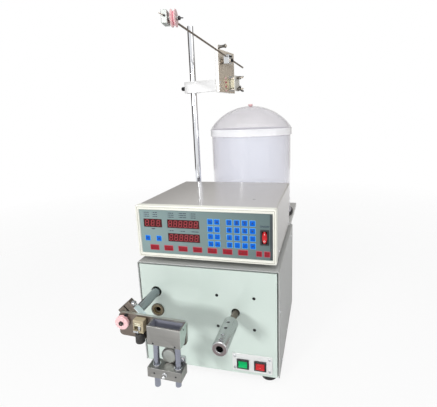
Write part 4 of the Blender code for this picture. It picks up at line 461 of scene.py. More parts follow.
def screwHead(radius, height, recess="cross"):
    # A head that stands on Z = 0 with a real recess in its top
    def spokes(count, reach):
        angles = [2 * math.pi * i / count for i in range(count)]
        return [(reach * math.cos(angle), reach * math.sin(angle)) for angle in angles]
    a, b = 0.13 * radius, 0.62 * radius
    mouth = {"hex": spokes(6, 0.5 * radius),
             "cross": [(b, -a), (b, a), (a, a), (a, b), (-a, b), (-a, a), (-b, a), (-b, -a), (-a, -a),
                       (-a, -b), (a, -b), (a, -a)]}[recess]
    domed, flat = ((1.0, 0.0), (1.0, 0.35), (0.9, 0.75), (0.72, 1.0)), ((1.0, 0.0), (1.0, 0.85), (0.9, 1.0))
    mesh = bmesh.new()
    rings = [ring(mesh, [(share * x, share * y, height * up) for x, y in spokes(24, radius)])
             for share, up in (flat if recess == "hex" else domed)]
    for low, high in zip(rings, rings[1:]):
        skin(mesh, low, high)
    mesh.faces.new(rings[0])
    lip = ring(mesh, [(x, y, height) for x, y in mouth])
    floor = ring(mesh, [(x * 0.85, y * 0.85, height * 0.35) for x, y in mouth])
    skin(mesh, lip, floor)
    mesh.faces.new(floor)
    edges = []
    for loop in (rings[-1], lip):
        for pair in zip(loop, loop[1:] + loop[:1]):
            edges.append(mesh.edges.get(pair) or mesh.edges.new(pair))
    bmesh.ops.triangle_fill(mesh, use_beauty=True, use_dissolve=False, edges=edges)
    return mesh


def heads(radius, height, places, recess="hex"):
    return joined([(screwHead(radius, height, recess), place) for place in places])


def facing(spot, normal, spin=0.0):
    # Stands a form that was made on Z = 0 on a face with that normal
    return move(spot) @ Vector(normal).to_track_quat("Z", "Y").to_matrix().to_4x4() @ turn(spin, "Z")


def lettering(text, size, weight):
    curve = bpy.data.curves.new("lettering", "FONT")
    curve.body, curve.size, curve.extrude, curve.offset = text, size, 0.00005, weight
    curve.align_x, curve.align_y = "CENTER", "CENTER"
    curve.resolution_u = 3
    mesh = shapeOf(placed("lettering", curve))
    bpy.data.curves.remove(curve)
    bmesh.ops.remove_doubles(mesh, verts=mesh.verts, dist=0.000001)
    bmesh.ops.rotate(mesh, verts=mesh.verts, matrix=Matrix.Rotation(math.pi / 2, 3, "X"))
    return mesh


def helix(radius, wire, pitch, turns, sides=8, steps=18):
    # A coil spring along Z with flat ends
    loops, upwards = [], Vector((0, 0, 1))
    for i in range(int(turns * steps) + 1):
        angle = 2 * math.pi * i / steps
        out = Vector((math.cos(angle), math.sin(angle), 0))
        centre = out * radius + upwards * pitch * i / steps
        loops.append([centre + (out * math.cos(b) + upwards * math.sin(b)) * wire / 2
                      for b in (2 * math.pi * k / sides for k in range(sides))])
    return lofted(loops)


def make(name, shape, finish, body="machine", at=None, edge=0.0, steps=2, replaces=None, angle=38, slot=None):
    # One visible piece. Its slot argument is not used.
    bmesh.ops.recalc_face_normals(shape, faces=shape.faces)
    data = meshOf(name, shape)
    material, ownSlot = finishes[finish]
    data.materials.append(material)
    data.shade_smooth()
    data.set_sharp_from_angle(angle=math.radians(angle))
    made = placed(name, data, at)
    if edge:
        bevel = made.modifiers.new("edges", "BEVEL")
        bevel.width, bevel.segments, bevel.limit_method = edge, steps, "ANGLE"
        bevel.angle_limit = math.radians(30)
        bevel.harden_normals = True
    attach(made, body)
    if replaces:
        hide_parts(replaces)


def dress(name, node, finish, body="machine", at=None, edge=0.0004, steps=2):
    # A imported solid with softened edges
    make(name, softened(node, at), finish, body, at, edge, steps, node)


def keep(node, finish):
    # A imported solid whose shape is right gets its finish
    data = cadNodes[node].data
    data.materials.clear()
    data.materials.append(finishes[finish][0])
    data.shade_smooth()
    data.set_sharp_from_angle(angle=math.radians(38))


# The cabinet
def dressCabinet():
    for node, finish, edge in (("cover_shell", "grey", 0.0006), ("front_panel", "green", 0.0007),
                               ("rear_panel", "grey", 0.0003), ("base_plate", "grey", 0.0003),
                               ("bucket_shelf", "shelfPaint", 0.0005)):
        dress(node.replace("_", "") + "Skin", node, finish, edge=edge)
    foot = {"radius": 0.0170, "height": 0.012, "inset": (0.126, 0.135)}
    r, height = foot["radius"], foot["height"]
    profile = [(0, 0.002), (0.004, 0.002), (0.0045, 0), (r - 0.003, 0), (r - 0.001, 0.0008), (r, 0.003),
               (r, 0.006), (r - 0.0005, 0.0066), (r - 0.001, height), (0, height)]
    for row, y in (("front", -1), ("rear", 1)):
        for side, x in (("left", -1), ("right", 1)):
            make(f"{row}{side.capitalize()}Foot", lathe(profile, segments=48), "rubber",
                 at=move((x * foot["inset"][0], y * foot["inset"][1], -height - 0.0003)),
                 replaces=f"foot_{row}_{side}")

    # Threads of the four fixing holes, and dark wipers in the two shaft holes
    fixing = {"x": 0.0383, "z": 0.0349, "back": -0.1499}
    thread = mm((2.6, 0.2))
    for i in range(6):
        thread += [(0.0031, 0.0006 + 0.0007 * i), (0.0026, 0.0009 + 0.0007 * i)]
    thread += mm((3.35, 4.8), (3.35, 0.3))
    spots = [(spindleAt[0] + x * fixing["x"], spindleAt[2] + z * fixing["z"]) for x in (-1, 1)
             for z in (-1, 1)]
    make("fixingThreads", joined([(lathe(thread, "Y", 24), move((x, cabinet["front"], z)))
                                  for x, z in spots]), "darkSteel")
    make("fixingHoleBacks", joined([(disc(0, 3.3, 0, 0.4, "Y", 20), move((x, fixing["back"], z)))
                                    for x, z in spots]), "darkSteel")
    make("shaftWipers", joined([(disc(r, r + 1.5, 4.4, 5, "Y", 40), move((x, cabinet["front"], z)))
                                for r, (x, _, z) in ((6.7, spindleAt), (9.2, traverseAt))]), "rubber")

    # Screws of the cover, low on both sides, and of the rear panel
    screws = [facing((side * cabinet["half"], y, z), (side, 0, 0), 17 + 360 * y) for side in (-1, 1)
              for y, z in ((-0.147, 0.148), (-0.110, 0.011), (0.0, 0.011), (0.110, 0.011), (0.117, 0.214))]
    screws += [facing((x, cabinet["back"], z), (0, 1, 0), 300 * z) for x in (-0.135, 0.135)
               for z in (0.03, 0.12, 0.215)]
    make("coverScrews", heads(0.0030, 0.0016, screws, "cross"), "zinc")
    inlet = (0.100, 0.1405, 0.046)
    blades = [(prism(rounded(0.0016, 0.0052, 0.0003, 1), 0.0, 0.010),
               move((inlet[0] + x, inlet[1], inlet[2] + z)))
              for x, z in ((-0.0065, -0.002), (0.0, 0.003), (0.0065, -0.002))]
    make("inletBlades", joined(blades), "zinc")
    print("cabinet dressed")


# The moving shafts and the drive behind the panel
def dressDrive():
    make("spindleBar", lathe(mm((0, -212), (5.5, -212), (6.5, -211), (6.5, 39), (5.5, 40), (0, 40)), "Y"),
         "alloyPlate", "spindle", spindleFrame, replaces="spindle_shaft")
    holder = {"front": -0.271, "length": 0.080, "radius": 0.01425, "bore": 0.006, "boreDepth": 0.050,
              "holes": (0.0086, 0.022, 0.043, 0.061)}
    r, bore, deep, far = holder["radius"], holder["bore"], holder["boreDepth"], holder["length"]
    profile = [(0, deep), (bore, deep), (bore, 0.0014), (bore + 0.0004, 0.0006), (bore + 0.0012, 0),
               (r - 0.0022, 0), (r - 0.001, 0.0004), (r - 0.0003, 0.0012), (r, 0.0024), (r, far - 0.001),
               (r - 0.001, far), (0.0067, far), (0.0067, deep + 0.0053), (0, deep + 0.0053)]
    drill = mm((0, 3), (2.5, 3), (2.5, 12), (3.4, 14.7), (3.4, 20), (0, 20))
    drills = joined([(lathe(drill, "Z", 28), move((0, y, 0))) for y in holder["holes"]])
    onSpindle = partial(make, body="spindle", at=spindleFrame @ move((0, holder["front"], 0)))
    onSpindle("mandrelHolder", carved(lathe(profile, "Y", 72), drills), "holderAlloy",
              replaces="mandrel_holder", angle=30)
    onSpindle("holderSetScrews", heads(0.0024, 0.0036, [move((0, y, 0.0090)) for y in holder["holes"][:2]]),
              "zinc")
    onSpindle("holderLockScrews", heads(0.0024, 0.0030, [move((0, y, 0.0062)) for y in holder["holes"][2:]]),
              "black", slot="grey_steel")

    make("traverseBar", lathe(mm((0, -249.7), (7.8, -249.7), (9, -248.5), (9, 79), (8, 80), (0, 80)), "Y"),
         "steelAlongY", "traverse", traverseFrame, replaces="traverse_shaft")
    onBush = partial(make, at=move((traverseAt[0], -0.1583, 0.128)))
    bush = mm((10.3, 0.9), (10.8, 0.2), (13.3, 0), (14.1, 0.3), (14.5, 1), (14.5, 3), (11.5, 3), (11.5, 30),
              (10.3, 30))
    onBush("lowerBushBody", lathe(bush, "Y", 56), "bush", replaces="lower_bush")
    liner = mm((8.5, 2.2), (8.9, 1.4), (10, 1.4), (10.25, 1.8), (10.25, 29.6), (8.5, 29.6))
    onBush("lowerBushLiner", lathe(liner, "Y", 56), "bronze")
    onBush("lowerBushClip", disc(11.2, 11.9, -0.1, 0.6, "Y", 56), "wireSteel")
    onBush("lowerBushFelt", lathe(mm((5, 5), (5.6, 4.4), (8.4, 4.4), (8.4, 6.4), (5, 6.4)), "Y", 40), "bush")
    for node, finish in (("spindle_housing", "darkSteel"), ("bearing_plate", "darkSteel"),
                         ("spindle_pulley", "turnedAlloy"), ("motor_pulley", "turnedAlloy"),
                         ("spindle_motor", "black"), ("traverse_motor", "black"), ("traverse_bush", "bronze"),
                         ("lead_screw", "steelAlongY"), ("traverse_carriage", "alloy"),
                         ("drive_belt", "rubber")):
        keep(node, finish)
    print("shafts dressed")


# Rocker switches. The lobes of a rocker's face stand out by crest where t is -1 or 1, and sag between.
rocker = {"crest": 0.0034, "depth": 0.0050, "tilt": -8}


def lobes(t):
    return -rocker["crest"] * (0.35 + 0.65 * t * t) - 0.0006 * (1 - t * t)


def squareRocker(width, rise):
    # Two gentle lobes in front and a round back, along X
    front = [(lobes(t), t * (rise - 0.0006)) for t in (-1 + 2 * i / 12 for i in range(13))]
    depth = rocker["depth"]
    back = [(0.0012, rise - 0.0002), (depth, 0.003), (depth + 0.0006, 0), (depth, -0.003),
            (0.0012, -rise + 0.0002)]
    return prism(front + back, -width / 2, width / 2, "X")


def ovalRocker(width, rise):
    # The same lobes within an oval outline
    angles = [2 * math.pi * i / 40 for i in range(40)]
    loops = [[(width / 2 * math.cos(a), rocker["depth"], rise * math.sin(a)) for a in angles]]
    for share, sink in ((1.0, 0.0012), (0.97, 0.0004), (0.90, 0.0), (0.7, 0.0), (0.45, 0.0), (0.2, 0.0)):
        loops.append([(share * width / 2 * math.cos(a), sink + lobes(share * math.sin(a)),
                       rise * share * math.sin(a)) for a in angles])
    return lofted(loops)


def rockerStroke(z, y):
    return prism(rounded(0.0007, 0.0030, 0.0002, 1), -0.00005, 0.00005), move((0, y, z))


def rockerRing(inner, z, y):
    return disc(inner, inner + 0.6, -0.05, 0.05, "Y", 24), move((0, y, z))


def dressSwitches():
    plate = {"x": 0.0934, "half": 0.0366, "front": -0.1568, "rows": (0.0140, 0.0412)}
    dress("switchPlateSkin", "switch_plate", "alloyBright", edge=0.0003)
    spots = [(plate["x"] + side * plate["half"], plate["front"], z) for side in (-1, 1)
             for z in plate["rows"]]
    screws = [facing(spot, (0, -1, 0), 50 + 900 * spot[0]) for spot in spots]
    make("switchPlateScrews", heads(0.0029, 0.0017, screws, "cross"), "zinc")
    for mark, finish, x in (("start", "greenKey", 0.0737), ("stop", "redKey", 0.1101)):
        dress(mark + "SwitchRim", mark + "_switch_body", "black")
        at = move((x, -0.1571, 0.0235)) @ turn(rocker["tilt"], "X")
        make(mark + "Rocker", squareRocker(0.0183, 0.0073), finish, mark + "_button", at, edge=0.0005,
             steps=3, replaces=mark + "_rocker")
        sign = rockerStroke(-0.0042, -0.00262) if mark == "start" else rockerRing(1.0, -0.0042, -0.00262)
        make(mark + "RockerSign", joined([sign]), "white", mark + "_button", at @ turn(9, "X"),
             slot=finishes[finish][1])
    print("switches dressed")


# The counter box
box = {"left": -0.1485, "right": 0.1435, "front": -0.145, "rear": 0.129, "bottom": 0.244, "top": 0.356,
       "side": 0.0075, "low": 0.0086, "high": 0.0095, "corner": 0.0034, "mouthCorner": 0.0014}
panelY = box["front"] + 0.0025


def dressBox():
    width, height = box["right"] - box["left"], box["top"] - box["bottom"]
    middle = ((box["left"] + box["right"]) / 2, (box["bottom"] + box["top"]) / 2)
    opening = {"size": (width - 2 * box["side"], height - box["low"] - box["high"]),
               "centre": (middle[0], middle[1] + (box["low"] - box["high"]) / 2)}

    def loop(inset, back, radius, size=(width, height), centre=middle):
        outline = rounded(size[0] - 2 * inset, size[1] - 2 * inset, radius, 6, centre)
        return [(x, box["front"] + back, z) for x, z in outline]

    # Moulded frame: a rounded front edge, a groove all round, and a flared mouth
    outside = mm((1.6, 0), (0.8, 0.3), (0.2, 0.9), (0, 1.6), (0, 3.8), (0.3, 4.3), (1.2, 4.6), (1.2, 5.8),
                 (0.3, 6.1), (0, 6.6), (0, 14))
    mouth = mm((0, 14), (0, 1.6), (-0.6, 0.6), (-1.6, 0.1), (-2.1, 0.4), (-2.7, 0.4), (-3.2, 0))
    loops = [loop(inset, back, box["corner"] - inset) for inset, back in outside]
    loops += [loop(inset, back, box["mouthCorner"] - inset, **opening) for inset, back in mouth]
    make("bezelMoulding", lofted(loops, closed=True), "cream", replaces="controller_bezel")
    # The groove is painted a darker cream: painted shade in a groove only 0.06 mm deep
    groove = mm((3.4, 0.1), (3.4, -0.06), (4.4, -0.06), (4.4, 0.1))
    make("bezelGroove", lofted([loop(inset, back, box["corner"] - inset * 0.5) for inset, back in groove],
                               closed=True),
         "creamGroovePaintedShade")
    dress("boxCover", "controller_case", "lid")
    dress("boxPan", "controller_base", "lid", edge=0.0003)
    screws = [facing((middle[0] + side * 0.145, y, box["bottom"] + 0.012), (side, 0, 0), 33 + 200 * y)
              for side in (-1, 1) for y in (-0.10, 0.10)]
    screws += [facing((x, box["rear"], z), (0, 1, 0), 500 * z) for x in (-0.13, 0.13) for z in (0.255, 0.343)]
    make("boxScrews", heads(0.0028, 0.0014, screws, "cross"), "zinc")

    # Multi-pin sockets in the two round holes of the rear wall
    shell = mm((5.8, -4), (7.2, -4), (7.2, 0), (8.8, 0), (8.8, 1.2), (7, 3), (5.8, 3))
    pins = {"circle": 0.0032, "step": 1.2566}
    plugs = []
    for x in (0.085, 0.110):
        at = move((middle[0] + x, box["rear"], box["bottom"] + 0.040))
        plugs += [(lathe(shell, "Y", 32), at), (disc(0, 5.7, -3, -2, "Y", 32), at)]
        for i in range(5):
            angle = i * pins["step"]
            spot = move((pins["circle"] * math.cos(angle), 0, pins["circle"] * math.sin(angle)))
            plugs.append((disc(0, 0.6, -2, 2, "Y", 10), at @ spot))
    make("rearSockets", joined(plugs), "zinc")
    print("counter box dressed")


# Keys as (x, z above the box's underside, sign or pair of signs, width)
key = {"size": 0.0122, "wide": 0.0205, "row": 0.015345, "top": 0.0821, "depth": 0.00025,
       "rim": 0.0022, "rise": 0.00055, "ink": 0.00058, "spread": 0.0042}
pairSigns = ("step", "back", "next", "turn", "plus", "minus", "left", "right")
padSigns = ("7", "8", "9", "up", "4", "5", "6", "down", "1", "2", "3", "dash", "0", ".", "cross", "enter")
rowSigns = ("turn/play", "back/dash", "next/dash", "step/cross", "pause/play", "stop/dash", "play/step")
blueKeys = [(-0.1259, 0.0414, "down", key["size"]), (-0.1008, 0.0414, "up", key["size"])]
for first, step, columns, names in ((0.0118, 0.01395, 2, pairSigns), (0.0505, 0.0155, 4, padSigns)):
    blueKeys += [(first + step * (i % columns), key["top"] - key["row"] * (i // columns), name, key["size"])
                 for i, name in enumerate(names)]
redKeys = [(-0.1120 + 0.0315 * i, 0.0215, name, key["wide"]) for i, name in enumerate(rowSigns)]
redKeys += [(0.1090, 0.0210, "minus", key["size"]), (0.1247, 0.0210, "plus", key["size"])]


def bar(x0, z0, x1, z1):
    return [(x0, z0), (x1, z0), (x1, z1), (x0, z1)]


# Signs on the keys, as polygons in a square from -1 to 1
signs = {
    "up": [[(-0.8, -0.4), (0.8, -0.4), (0, 0.7)]], "down": [[(-0.8, 0.4), (0, -0.7), (0.8, 0.4)]],
    "left": [[(0.4, -0.8), (0.4, 0.8), (-0.7, 0)]], "right": [[(-0.4, -0.8), (0.7, 0), (-0.4, 0.8)]],
    "play": [[(-0.5, -0.8), (0.8, 0), (-0.5, 0.8)]], "stop": [bar(-0.6, -0.6, 0.6, 0.6)],
    "pause": [bar(-0.6, -0.7, -0.2, 0.7), bar(0.2, -0.7, 0.6, 0.7)],
    "back": [[(0.1, -0.7), (0.1, 0.7), (-0.9, 0)], [(0.9, -0.7), (0.9, 0.7), (0.1, 0)]],
    "next": [[(-0.9, -0.7), (0.0, 0), (-0.9, 0.7)], [(0.0, -0.7), (0.9, 0), (0.0, 0.7)]],
    "step": [[(-0.8, -0.7), (0.3, 0), (-0.8, 0.7)], bar(0.45, -0.7, 0.75, 0.7)],
    "plus": [bar(-0.8, -0.15, 0.8, 0.15), bar(-0.15, 0.2, 0.15, 0.8), bar(-0.15, -0.8, 0.15, -0.2)],
    "minus": [bar(-0.8, -0.15, 0.8, 0.15)],
    "dash": [bar(-0.8, 0.25, 0.8, 0.5), bar(-0.8, -0.5, 0.8, -0.25)],
    "cross": [[(-0.7, -0.5), (-0.5, -0.7), (0.7, 0.5), (0.5, 0.7)]],
    "turn": [bar(-0.8, -0.6, 0.2, -0.3), [(0.2, -0.9), (0.8, -0.45), (0.2, 0.0)], bar(-0.8, -0.3, -0.5, 0.6)],
    "enter": [bar(0.5, -0.2, 0.8, 0.7), bar(-0.2, -0.2, 0.5, 0.1),
              [(-0.2, -0.6), (-0.2, 0.5), (-0.9, -0.05)]],
}


def signForm(kind, size):
    if kind not in signs:
        return lettering(kind, size * 3.0, 0.00018)
    return joined([(prism([(x * size, z * size) for x, z in outline], -0.00005, 0.00005), None)
                   for outline in signs[kind]])


def digit(width, height, lean=0.14):
    # Seven bars of a figure eight, and a point
    thick, gap = 0.0013, 0.0002
    parts = []
    for x, z, long, upright in ((0, height / 2, width, False), (0, 0, width, False),
                                (0, -height / 2, width, False), (-width / 2, height / 4, height / 2, True),
                                (width / 2, height / 4, height / 2, True),
                                (-width / 2, -height / 4, height / 2, True),
                                (width / 2, -height / 4, height / 2, True)):
        h, b = long / 2 - gap, thick / 2
        outline = [(-h, 0), (-h + b, -b), (h - b, -b), (h, 0), (h - b, b), (-h + b, b)]
        if upright:
            outline = [(up, across) for across, up in outline]
        parts.append((prism([(x + a + lean * (z + c), z + c) for a, c in outline], -0.00004, 0.00002), None))
    parts.append((disc(0, 0.7, -0.04, 0.02, "Y", 8), move((width / 2 + 0.0018, 0, -height / 2))))
    return joined(parts)


def dressKeys():
    def onPanel(x, z, out=0.0):
        return move((x, panelY + out, box["bottom"] + z))

    # The film, cut for the digit windows (x, width, z, digits) and the power switch
    windows = [(-0.1122, 0.0411, 0.0741, 3), (-0.0455, 0.0690, 0.0741, 6), (-0.0455, 0.0690, 0.0450, 6)]
    low, high = box["bottom"] + box["low"] + 0.0003, box["top"] - box["high"] - 0.0003
    left, right = box["left"] + box["side"] + 0.0003, box["right"] - box["side"] - 0.0003
    power = {"x": 0.120286, "z": 0.0551, "width": 0.0143, "height": 0.0288}
    middle = ((left + right) / 2, (low + high) / 2)
    sheet = prism(rounded(right - left, high - low, 0.0014, 4, middle), panelY, panelY + 0.003)

    def opening(x, z, width, height, corner, steps):
        # A tool that cuts right through the film
        outline = rounded(width, height, corner, steps, (x, box["bottom"] + z))
        return prism(outline, panelY - 0.002, panelY + 0.006)
    holes = joined([(opening(x, z, width, 0.018, 0.0008, 2), None) for x, width, z, _ in windows])
    slot = opening(power["x"], power["z"], power["width"], power["height"], 0.0003, 1)
    make("keyFilm", carved(sheet, holes, slot), "film", edge=0.0002, replaces="key_panel")

    for label, keys, capHeight, signSize in (("blue", blueKeys, 0.0104, 0.0031),
                                             ("red", redKeys, 0.0100, 0.0029)):
        edges, caps, ink = [], [], []
        for x, z, sign, width in keys:
            at = onPanel(x, z)
            edges.append((pad(width, key["size"], key["depth"], 0.0012, 0.0001), at))
            caps.append((pad(width - key["rim"], capHeight, key["rise"], 0.0010, 0.0002), at))
            for share, part in zip((-1, 1) if "/" in sign else (0,), sign.split("/")):
                ink.append((signForm(part, signSize), at @ move((share * key["spread"], -key["ink"], 0))))
        make(label + "KeyEdges", joined(edges), label + "Edge")
        make(label + "KeyCaps", joined(caps), label)
        make(label + "KeySigns", joined(ink), label + "Ink")

    # Digit windows: tinted glass with unlit figures on it
    glass, figures = [], []
    for x, w, z, count in windows:
        at = onPanel(x, z, 0.0004)
        glass.append((prism(rounded(w - 0.0004, 0.0176, 0.0007, 2), 0.0, 0.0010), at))
        pitch = (w - 0.003) / count
        figures += [(digit(0.0062, 0.0124), at @ move(((i - (count - 1) / 2) * pitch - 0.0005, -0.00003, 0)))
                    for i in range(count)]
    make("windowGlass", joined(glass), "window", edge=0.0002)
    make("windowFigures", joined(figures), "segment")
    keep("control_board", "board")

    # Indicator dots with short strokes beside them, in columns of (x, length), and the labels
    marks, upper = [], (0.0966, 0.0924, 0.0882)
    for columns, rows in ((((-0.1315, 0.0110), (-0.1116, 0.0090)), upper),
                          (((-0.0780, 0.0120), (-0.0536, 0.0150), (-0.0291, 0.0100)), upper),
                          (((-0.0770, 0.0085), (-0.0530, 0.0095), (-0.0290, 0.0150)), (0.0593,))):
        for x, length in columns:
            for row, z in enumerate(rows):
                marks.append((disc(0, 0.6, -0.08, 0.08, "Y", 10), onPanel(x, z)))
                at = x + 0.0016
                for share in (0.42, 0.5) if (row + int(x * 1000)) % 2 else (0.62, 0.28):
                    stroke = prism(rounded(length * share, 0.0015, 0.0003, 1), -0.00008, 0.00008)
                    marks.append((stroke, onPanel(at + length * share / 2, z)))
                    at += length * share + 0.0007
    angles = [math.pi * i / 10 for i in range(11)]
    half = [(0.0045 * math.cos(angle), -0.0022 * math.sin(angle)) for angle in angles]
    marks.append((prism(half, -0.00008, 0.00008), onPanel(-0.1118, 0.0628)))
    marks.append((lettering("ON/OFF", 0.0050, 0.00016), onPanel(power["x"], 0.0766)))
    make("panelMarks", joined(marks), "blueInk")
    strip = bar(right - 0.0052, low + 0.0008, right - 0.0001, high - 0.0008)
    make("keyFilmEdge", prism(strip, panelY - 0.00012, panelY + 0.0004), "filmEdge")

    dress("powerSwitchRim", "power_switch_body", "black")
    onRocker = partial(make, body="power_button",
                       at=move((power["x"], -0.1428, box["bottom"] + power["z"])) @ turn(rocker["tilt"], "X"))
    onRocker("powerRocker", ovalRocker(0.0099, 0.0119), "redKey", replaces="power_rocker")
    onRocker("powerRockerSign", joined([rockerRing(1.1, -0.0068, -0.0030), rockerStroke(0.0068, -0.0030)]),
             "white")
    print("key panel dressed")


# The wire guide on the traverse shaft
faceY = -0.2576


def wheel(radius, groove, width, bore, axis):
    # Rounded rims. The groove's sides sweep down to a round bottom.
    half = width / 2
    rim = [(bore, 1), (radius - 0.0013, 1), (radius - 0.0004, 0.93), (radius, 0.80), (radius - 0.0003, 0.66)]
    profile = [(r, -share * half) for r, share in rim]
    for i in range(7):
        t = -1 + i / 3
        profile.append((groove + (radius - groove - 0.0012) * abs(t) ** 1.5, t * half * 0.50))
    return lathe(profile + [(r, share * half) for r, share in rim[::-1]], axis, 64)


def knurled(radius, flutes, heights):
    # A grip along Z, fluted where its flare is 0, of (z, flare)
    loops, count = [], flutes * 4
    for z, flare in heights:
        loop = []
        for i in range(count):
            wave = 0.00028 * math.cos(i * math.pi / 2) if flare == 0.0 else 0.0
            r, angle = radius - 0.0003 + wave + flare, 2 * math.pi * i / count
            loop.append((r * math.cos(angle), r * math.sin(angle), z))
        loops.append(loop)
    return lofted(loops)


def dressGuide():
    for node, finish, at, edge in (("guide_clamp", "clampAlloy", clampFrame, 0.0005),
                                   ("guide_plate", "guidePlateAlloy", guideFrame, 0.0005),
                                   ("guide_trough", "troughAlloy", guideFrame, 0.0004)):
        dress(node.replace("_", "") + "Skin", node, finish, "guide", at, edge)
    front, out = faceY - 0.028, (0, -1, 0)
    onGuide = partial(make, body="guide", at=guideFrame)
    clampX, clampY = -0.0165, -0.2425
    make("clampScrew", joined([(screwHead(0.0046, 0.0040, "hex"), move((clampX, clampY, 0.014))),
                               (disc(2.5, 5.6, 0, 0.7, "Z", 32), move((clampX, clampY, 0.0138)))]),
         "zinc", "guide", clampFrame)
    onWheel = partial(make, body="guide_wheel", at=guideFrame @ move((clampX, faceY - 0.0032, -0.009)))
    onWheel("guideWheel", wheel(0.0132, 0.0098, 0.0064, 0.0031, "Y"), "pink", replaces="guide_pulley")
    hub = mm((3.1, -3.4), (5.2, -3.4), (5.6, -3.1), (5.6, 3.1), (3.1, 3.1))
    onWheel("guideWheelHub", lathe(hub, "Y", 32), "pink")
    screws = [(screwHead(0.0043, 0.0026, "hex"), guideFrame @ facing((clampX, faceY - 0.0066, -0.009), out)),
              (screwHead(0.0030, 0.0022, "hex"), guideFrame @ facing((-0.0095, faceY, 0.0055), out, 20))]
    make("axleScrews", joined(screws), "darkSteel", "guide")

    # The felt block, its knurled screw below, and the wire's felts inside
    felt = {"x": 0.02225, "y": faceY - 0.009}
    dress("feltBlockBody", "felt_block", "beige", "guide", guideFrame, 0.0005, 3)
    onScrew = partial(make, body="felt_screw", at=guideFrame @ move((felt["x"], felt["y"], -0.0185)))
    heights = mm((-20.5, -1.4), (-20.1, -0.6), (-19.3, 0), (-2.7, 0), (-1.9, -0.6), (-1.5, -1.4))
    onScrew("feltKnobGrip", knurled(0.0085, 26, heights), "knob", replaces="felt_knob", angle=50)
    stem = mm((0, -1.5), (2.5, -1.5), (2.5, 10.3), (3.7, 10.5), (3.7, 13.5), (0, 13.5))
    onScrew("feltKnobStem", lathe(stem, "Z", 32), "zinc")
    make("feltSpring", helix(0.0034, 0.0007, 0.0012, 4.4), "zinc", "guide",
         guideFrame @ move((felt["x"], felt["y"], -0.0134)))
    felts = [(prism(rounded(0.0125, 0.0084, 0.001, 3, (0.0200, faceY - 0.0086)), z, z + 0.0022, "Z"), None)
             for z in (-0.0048, -0.0012)]
    onGuide("feltLinings", joined(felts), "felt")
    bridge = prism(rounded(0.0105, 0.0032, 0.0008, 2, (0.0165, -0.0163)), faceY - 0.0137, faceY - 0.0129)
    screw = (screwHead(0.0026, 0.0016), facing((0.0203, faceY - 0.0137, -0.0166), out, 25))
    onGuide("bridgeScrew", joined([(bridge, None), screw]), "zinc")

    # The trough, and the two rods under it
    rodX, rodY = (0.0568, 0.0978), faceY - 0.0160
    grubs = [facing((x, front + 0.0035, -0.0225), out, 10) for x in rodX]
    onGuide("troughGrubs", heads(0.0017, 0.0030, grubs), "darkSteel")
    pocket = {"x": (0.0495, 0.1050), "y": (front + 0.0035, faceY - 0.0035), "floor": -0.0055, "rim": 0.0092,
              "sheet": 0.0004, "gap": 0.0001}
    gap, sheet, floor, rim = (pocket[name] for name in ("gap", "sheet", "floor", "rim"))
    (x0, x1), (y0, y1) = pocket["x"], pocket["y"]
    lining = [[(x, y, up) for x, y in bar(x0 + inset, y0 + inset, x1 - inset, y1 - inset)]
              for inset, up in ((gap, floor + gap), (gap, rim), (sheet, rim), (sheet, floor + sheet))]
    onGuide("troughLining", lofted(lining), "troughInside")
    pin = lathe(mm((0, 0), (1.1, 0), (1.1, 0.6), (0.8, 0.9), (0, 0.9)), "X", 16)
    onGuide("troughPin", joined([(pin, move((0.1085, faceY - 0.014, 0.0046)))]), "darkSteel")
    ends = {"left": mm((0, -119), (3.4, -119), (4.7, -118.4), (5.4, -117.2)),
            "right": mm((0, -110), (5, -110), (5.4, -109.7))}
    for side, x in zip(ends, rodX):
        make(side + "GuideRod", lathe(ends[side] + mm((5.4, -17.8), (0, -17.8)), "Z", 48), "steel", "guide",
             guideFrame @ move((x, rodY, 0)), replaces="guide_rod_" + side)

    # The lower block that slides on the rods
    slide = {"x": 0.0773, "z": -0.0825, "boss": -0.0590}
    onSlide = partial(make, body="lower_slide", at=guideFrame)
    dress("lowerBlockSkin", "lower_block", "alloy", "lower_slide", guideFrame)
    collar = mm((5.6, 0), (7.4, 0), (7.4, 1.2), (7, 1.6), (5.6, 1.6))
    onSlide("rodCollars", joined([(lathe(collar, "Z", 40), move((x, rodY, -0.0729))) for x in rodX]), "zinc")
    lock = mm((0, 0), (4.6, 0), (4.6, 0.8), (3.2, 1.4), (3.2, 5.8), (2.6, 7.2), (1.4, 8), (0, 8))
    lockAt = facing((slide["x"], front, slide["z"]), out)
    onSlide("slideLock", joined([(lathe(lock, "Z", 32), lockAt)]), "zinc")
    grubs = [facing((x, front + 0.0035, -0.08275), out, 10) for x in rodX]
    onSlide("slideGrubs", heads(0.0017, 0.0030, grubs), "darkSteel")
    ear = prism(rounded(0.0120, 0.0180, 0.003, 3, (0.1010, -0.0664)), faceY - 0.0050, faceY - 0.0007)
    screw = (screwHead(0.0046, 0.0042, "hex"), facing((0.1005, faceY - 0.0050, -0.0620), out, 15))
    onSlide("slideEar", joined([(ear, None), screw]), "zinc")
    make("bossFace", lathe(mm((0, -0.4), (11.8, -0.4), (12.4, 0.1), (0, 0.1)), "Y", 48), "tipAlloy",
         "lower_slide", guideFrame @ move((slide["x"], faceY - 0.0085, slide["boss"])))
    print("wire guide dressed")


# The post, the bracket on it and the sprung arm
def wingNut():
    barrel = lathe(mm((2.1, -1.2), (3.6, -1.2), (4.5, 0), (4.5, 5.8), (3.8, 7), (2.1, 7)), "X", 32)
    wing = mm((0.8, 2.8), (3, 7), (4.2, 10), (6, 11.6), (9, 12), (11, 11.2), (12, 9.2), (10.6, 7), (8.4, 5.2),
              (6.2, 2.8))
    wings = [prism([(x, side * y) for x, y in wing], -0.0011, 0.0011, "Z") for side in (-1, 1)]
    return joined([(form, None) for form in (barrel, *wings)])


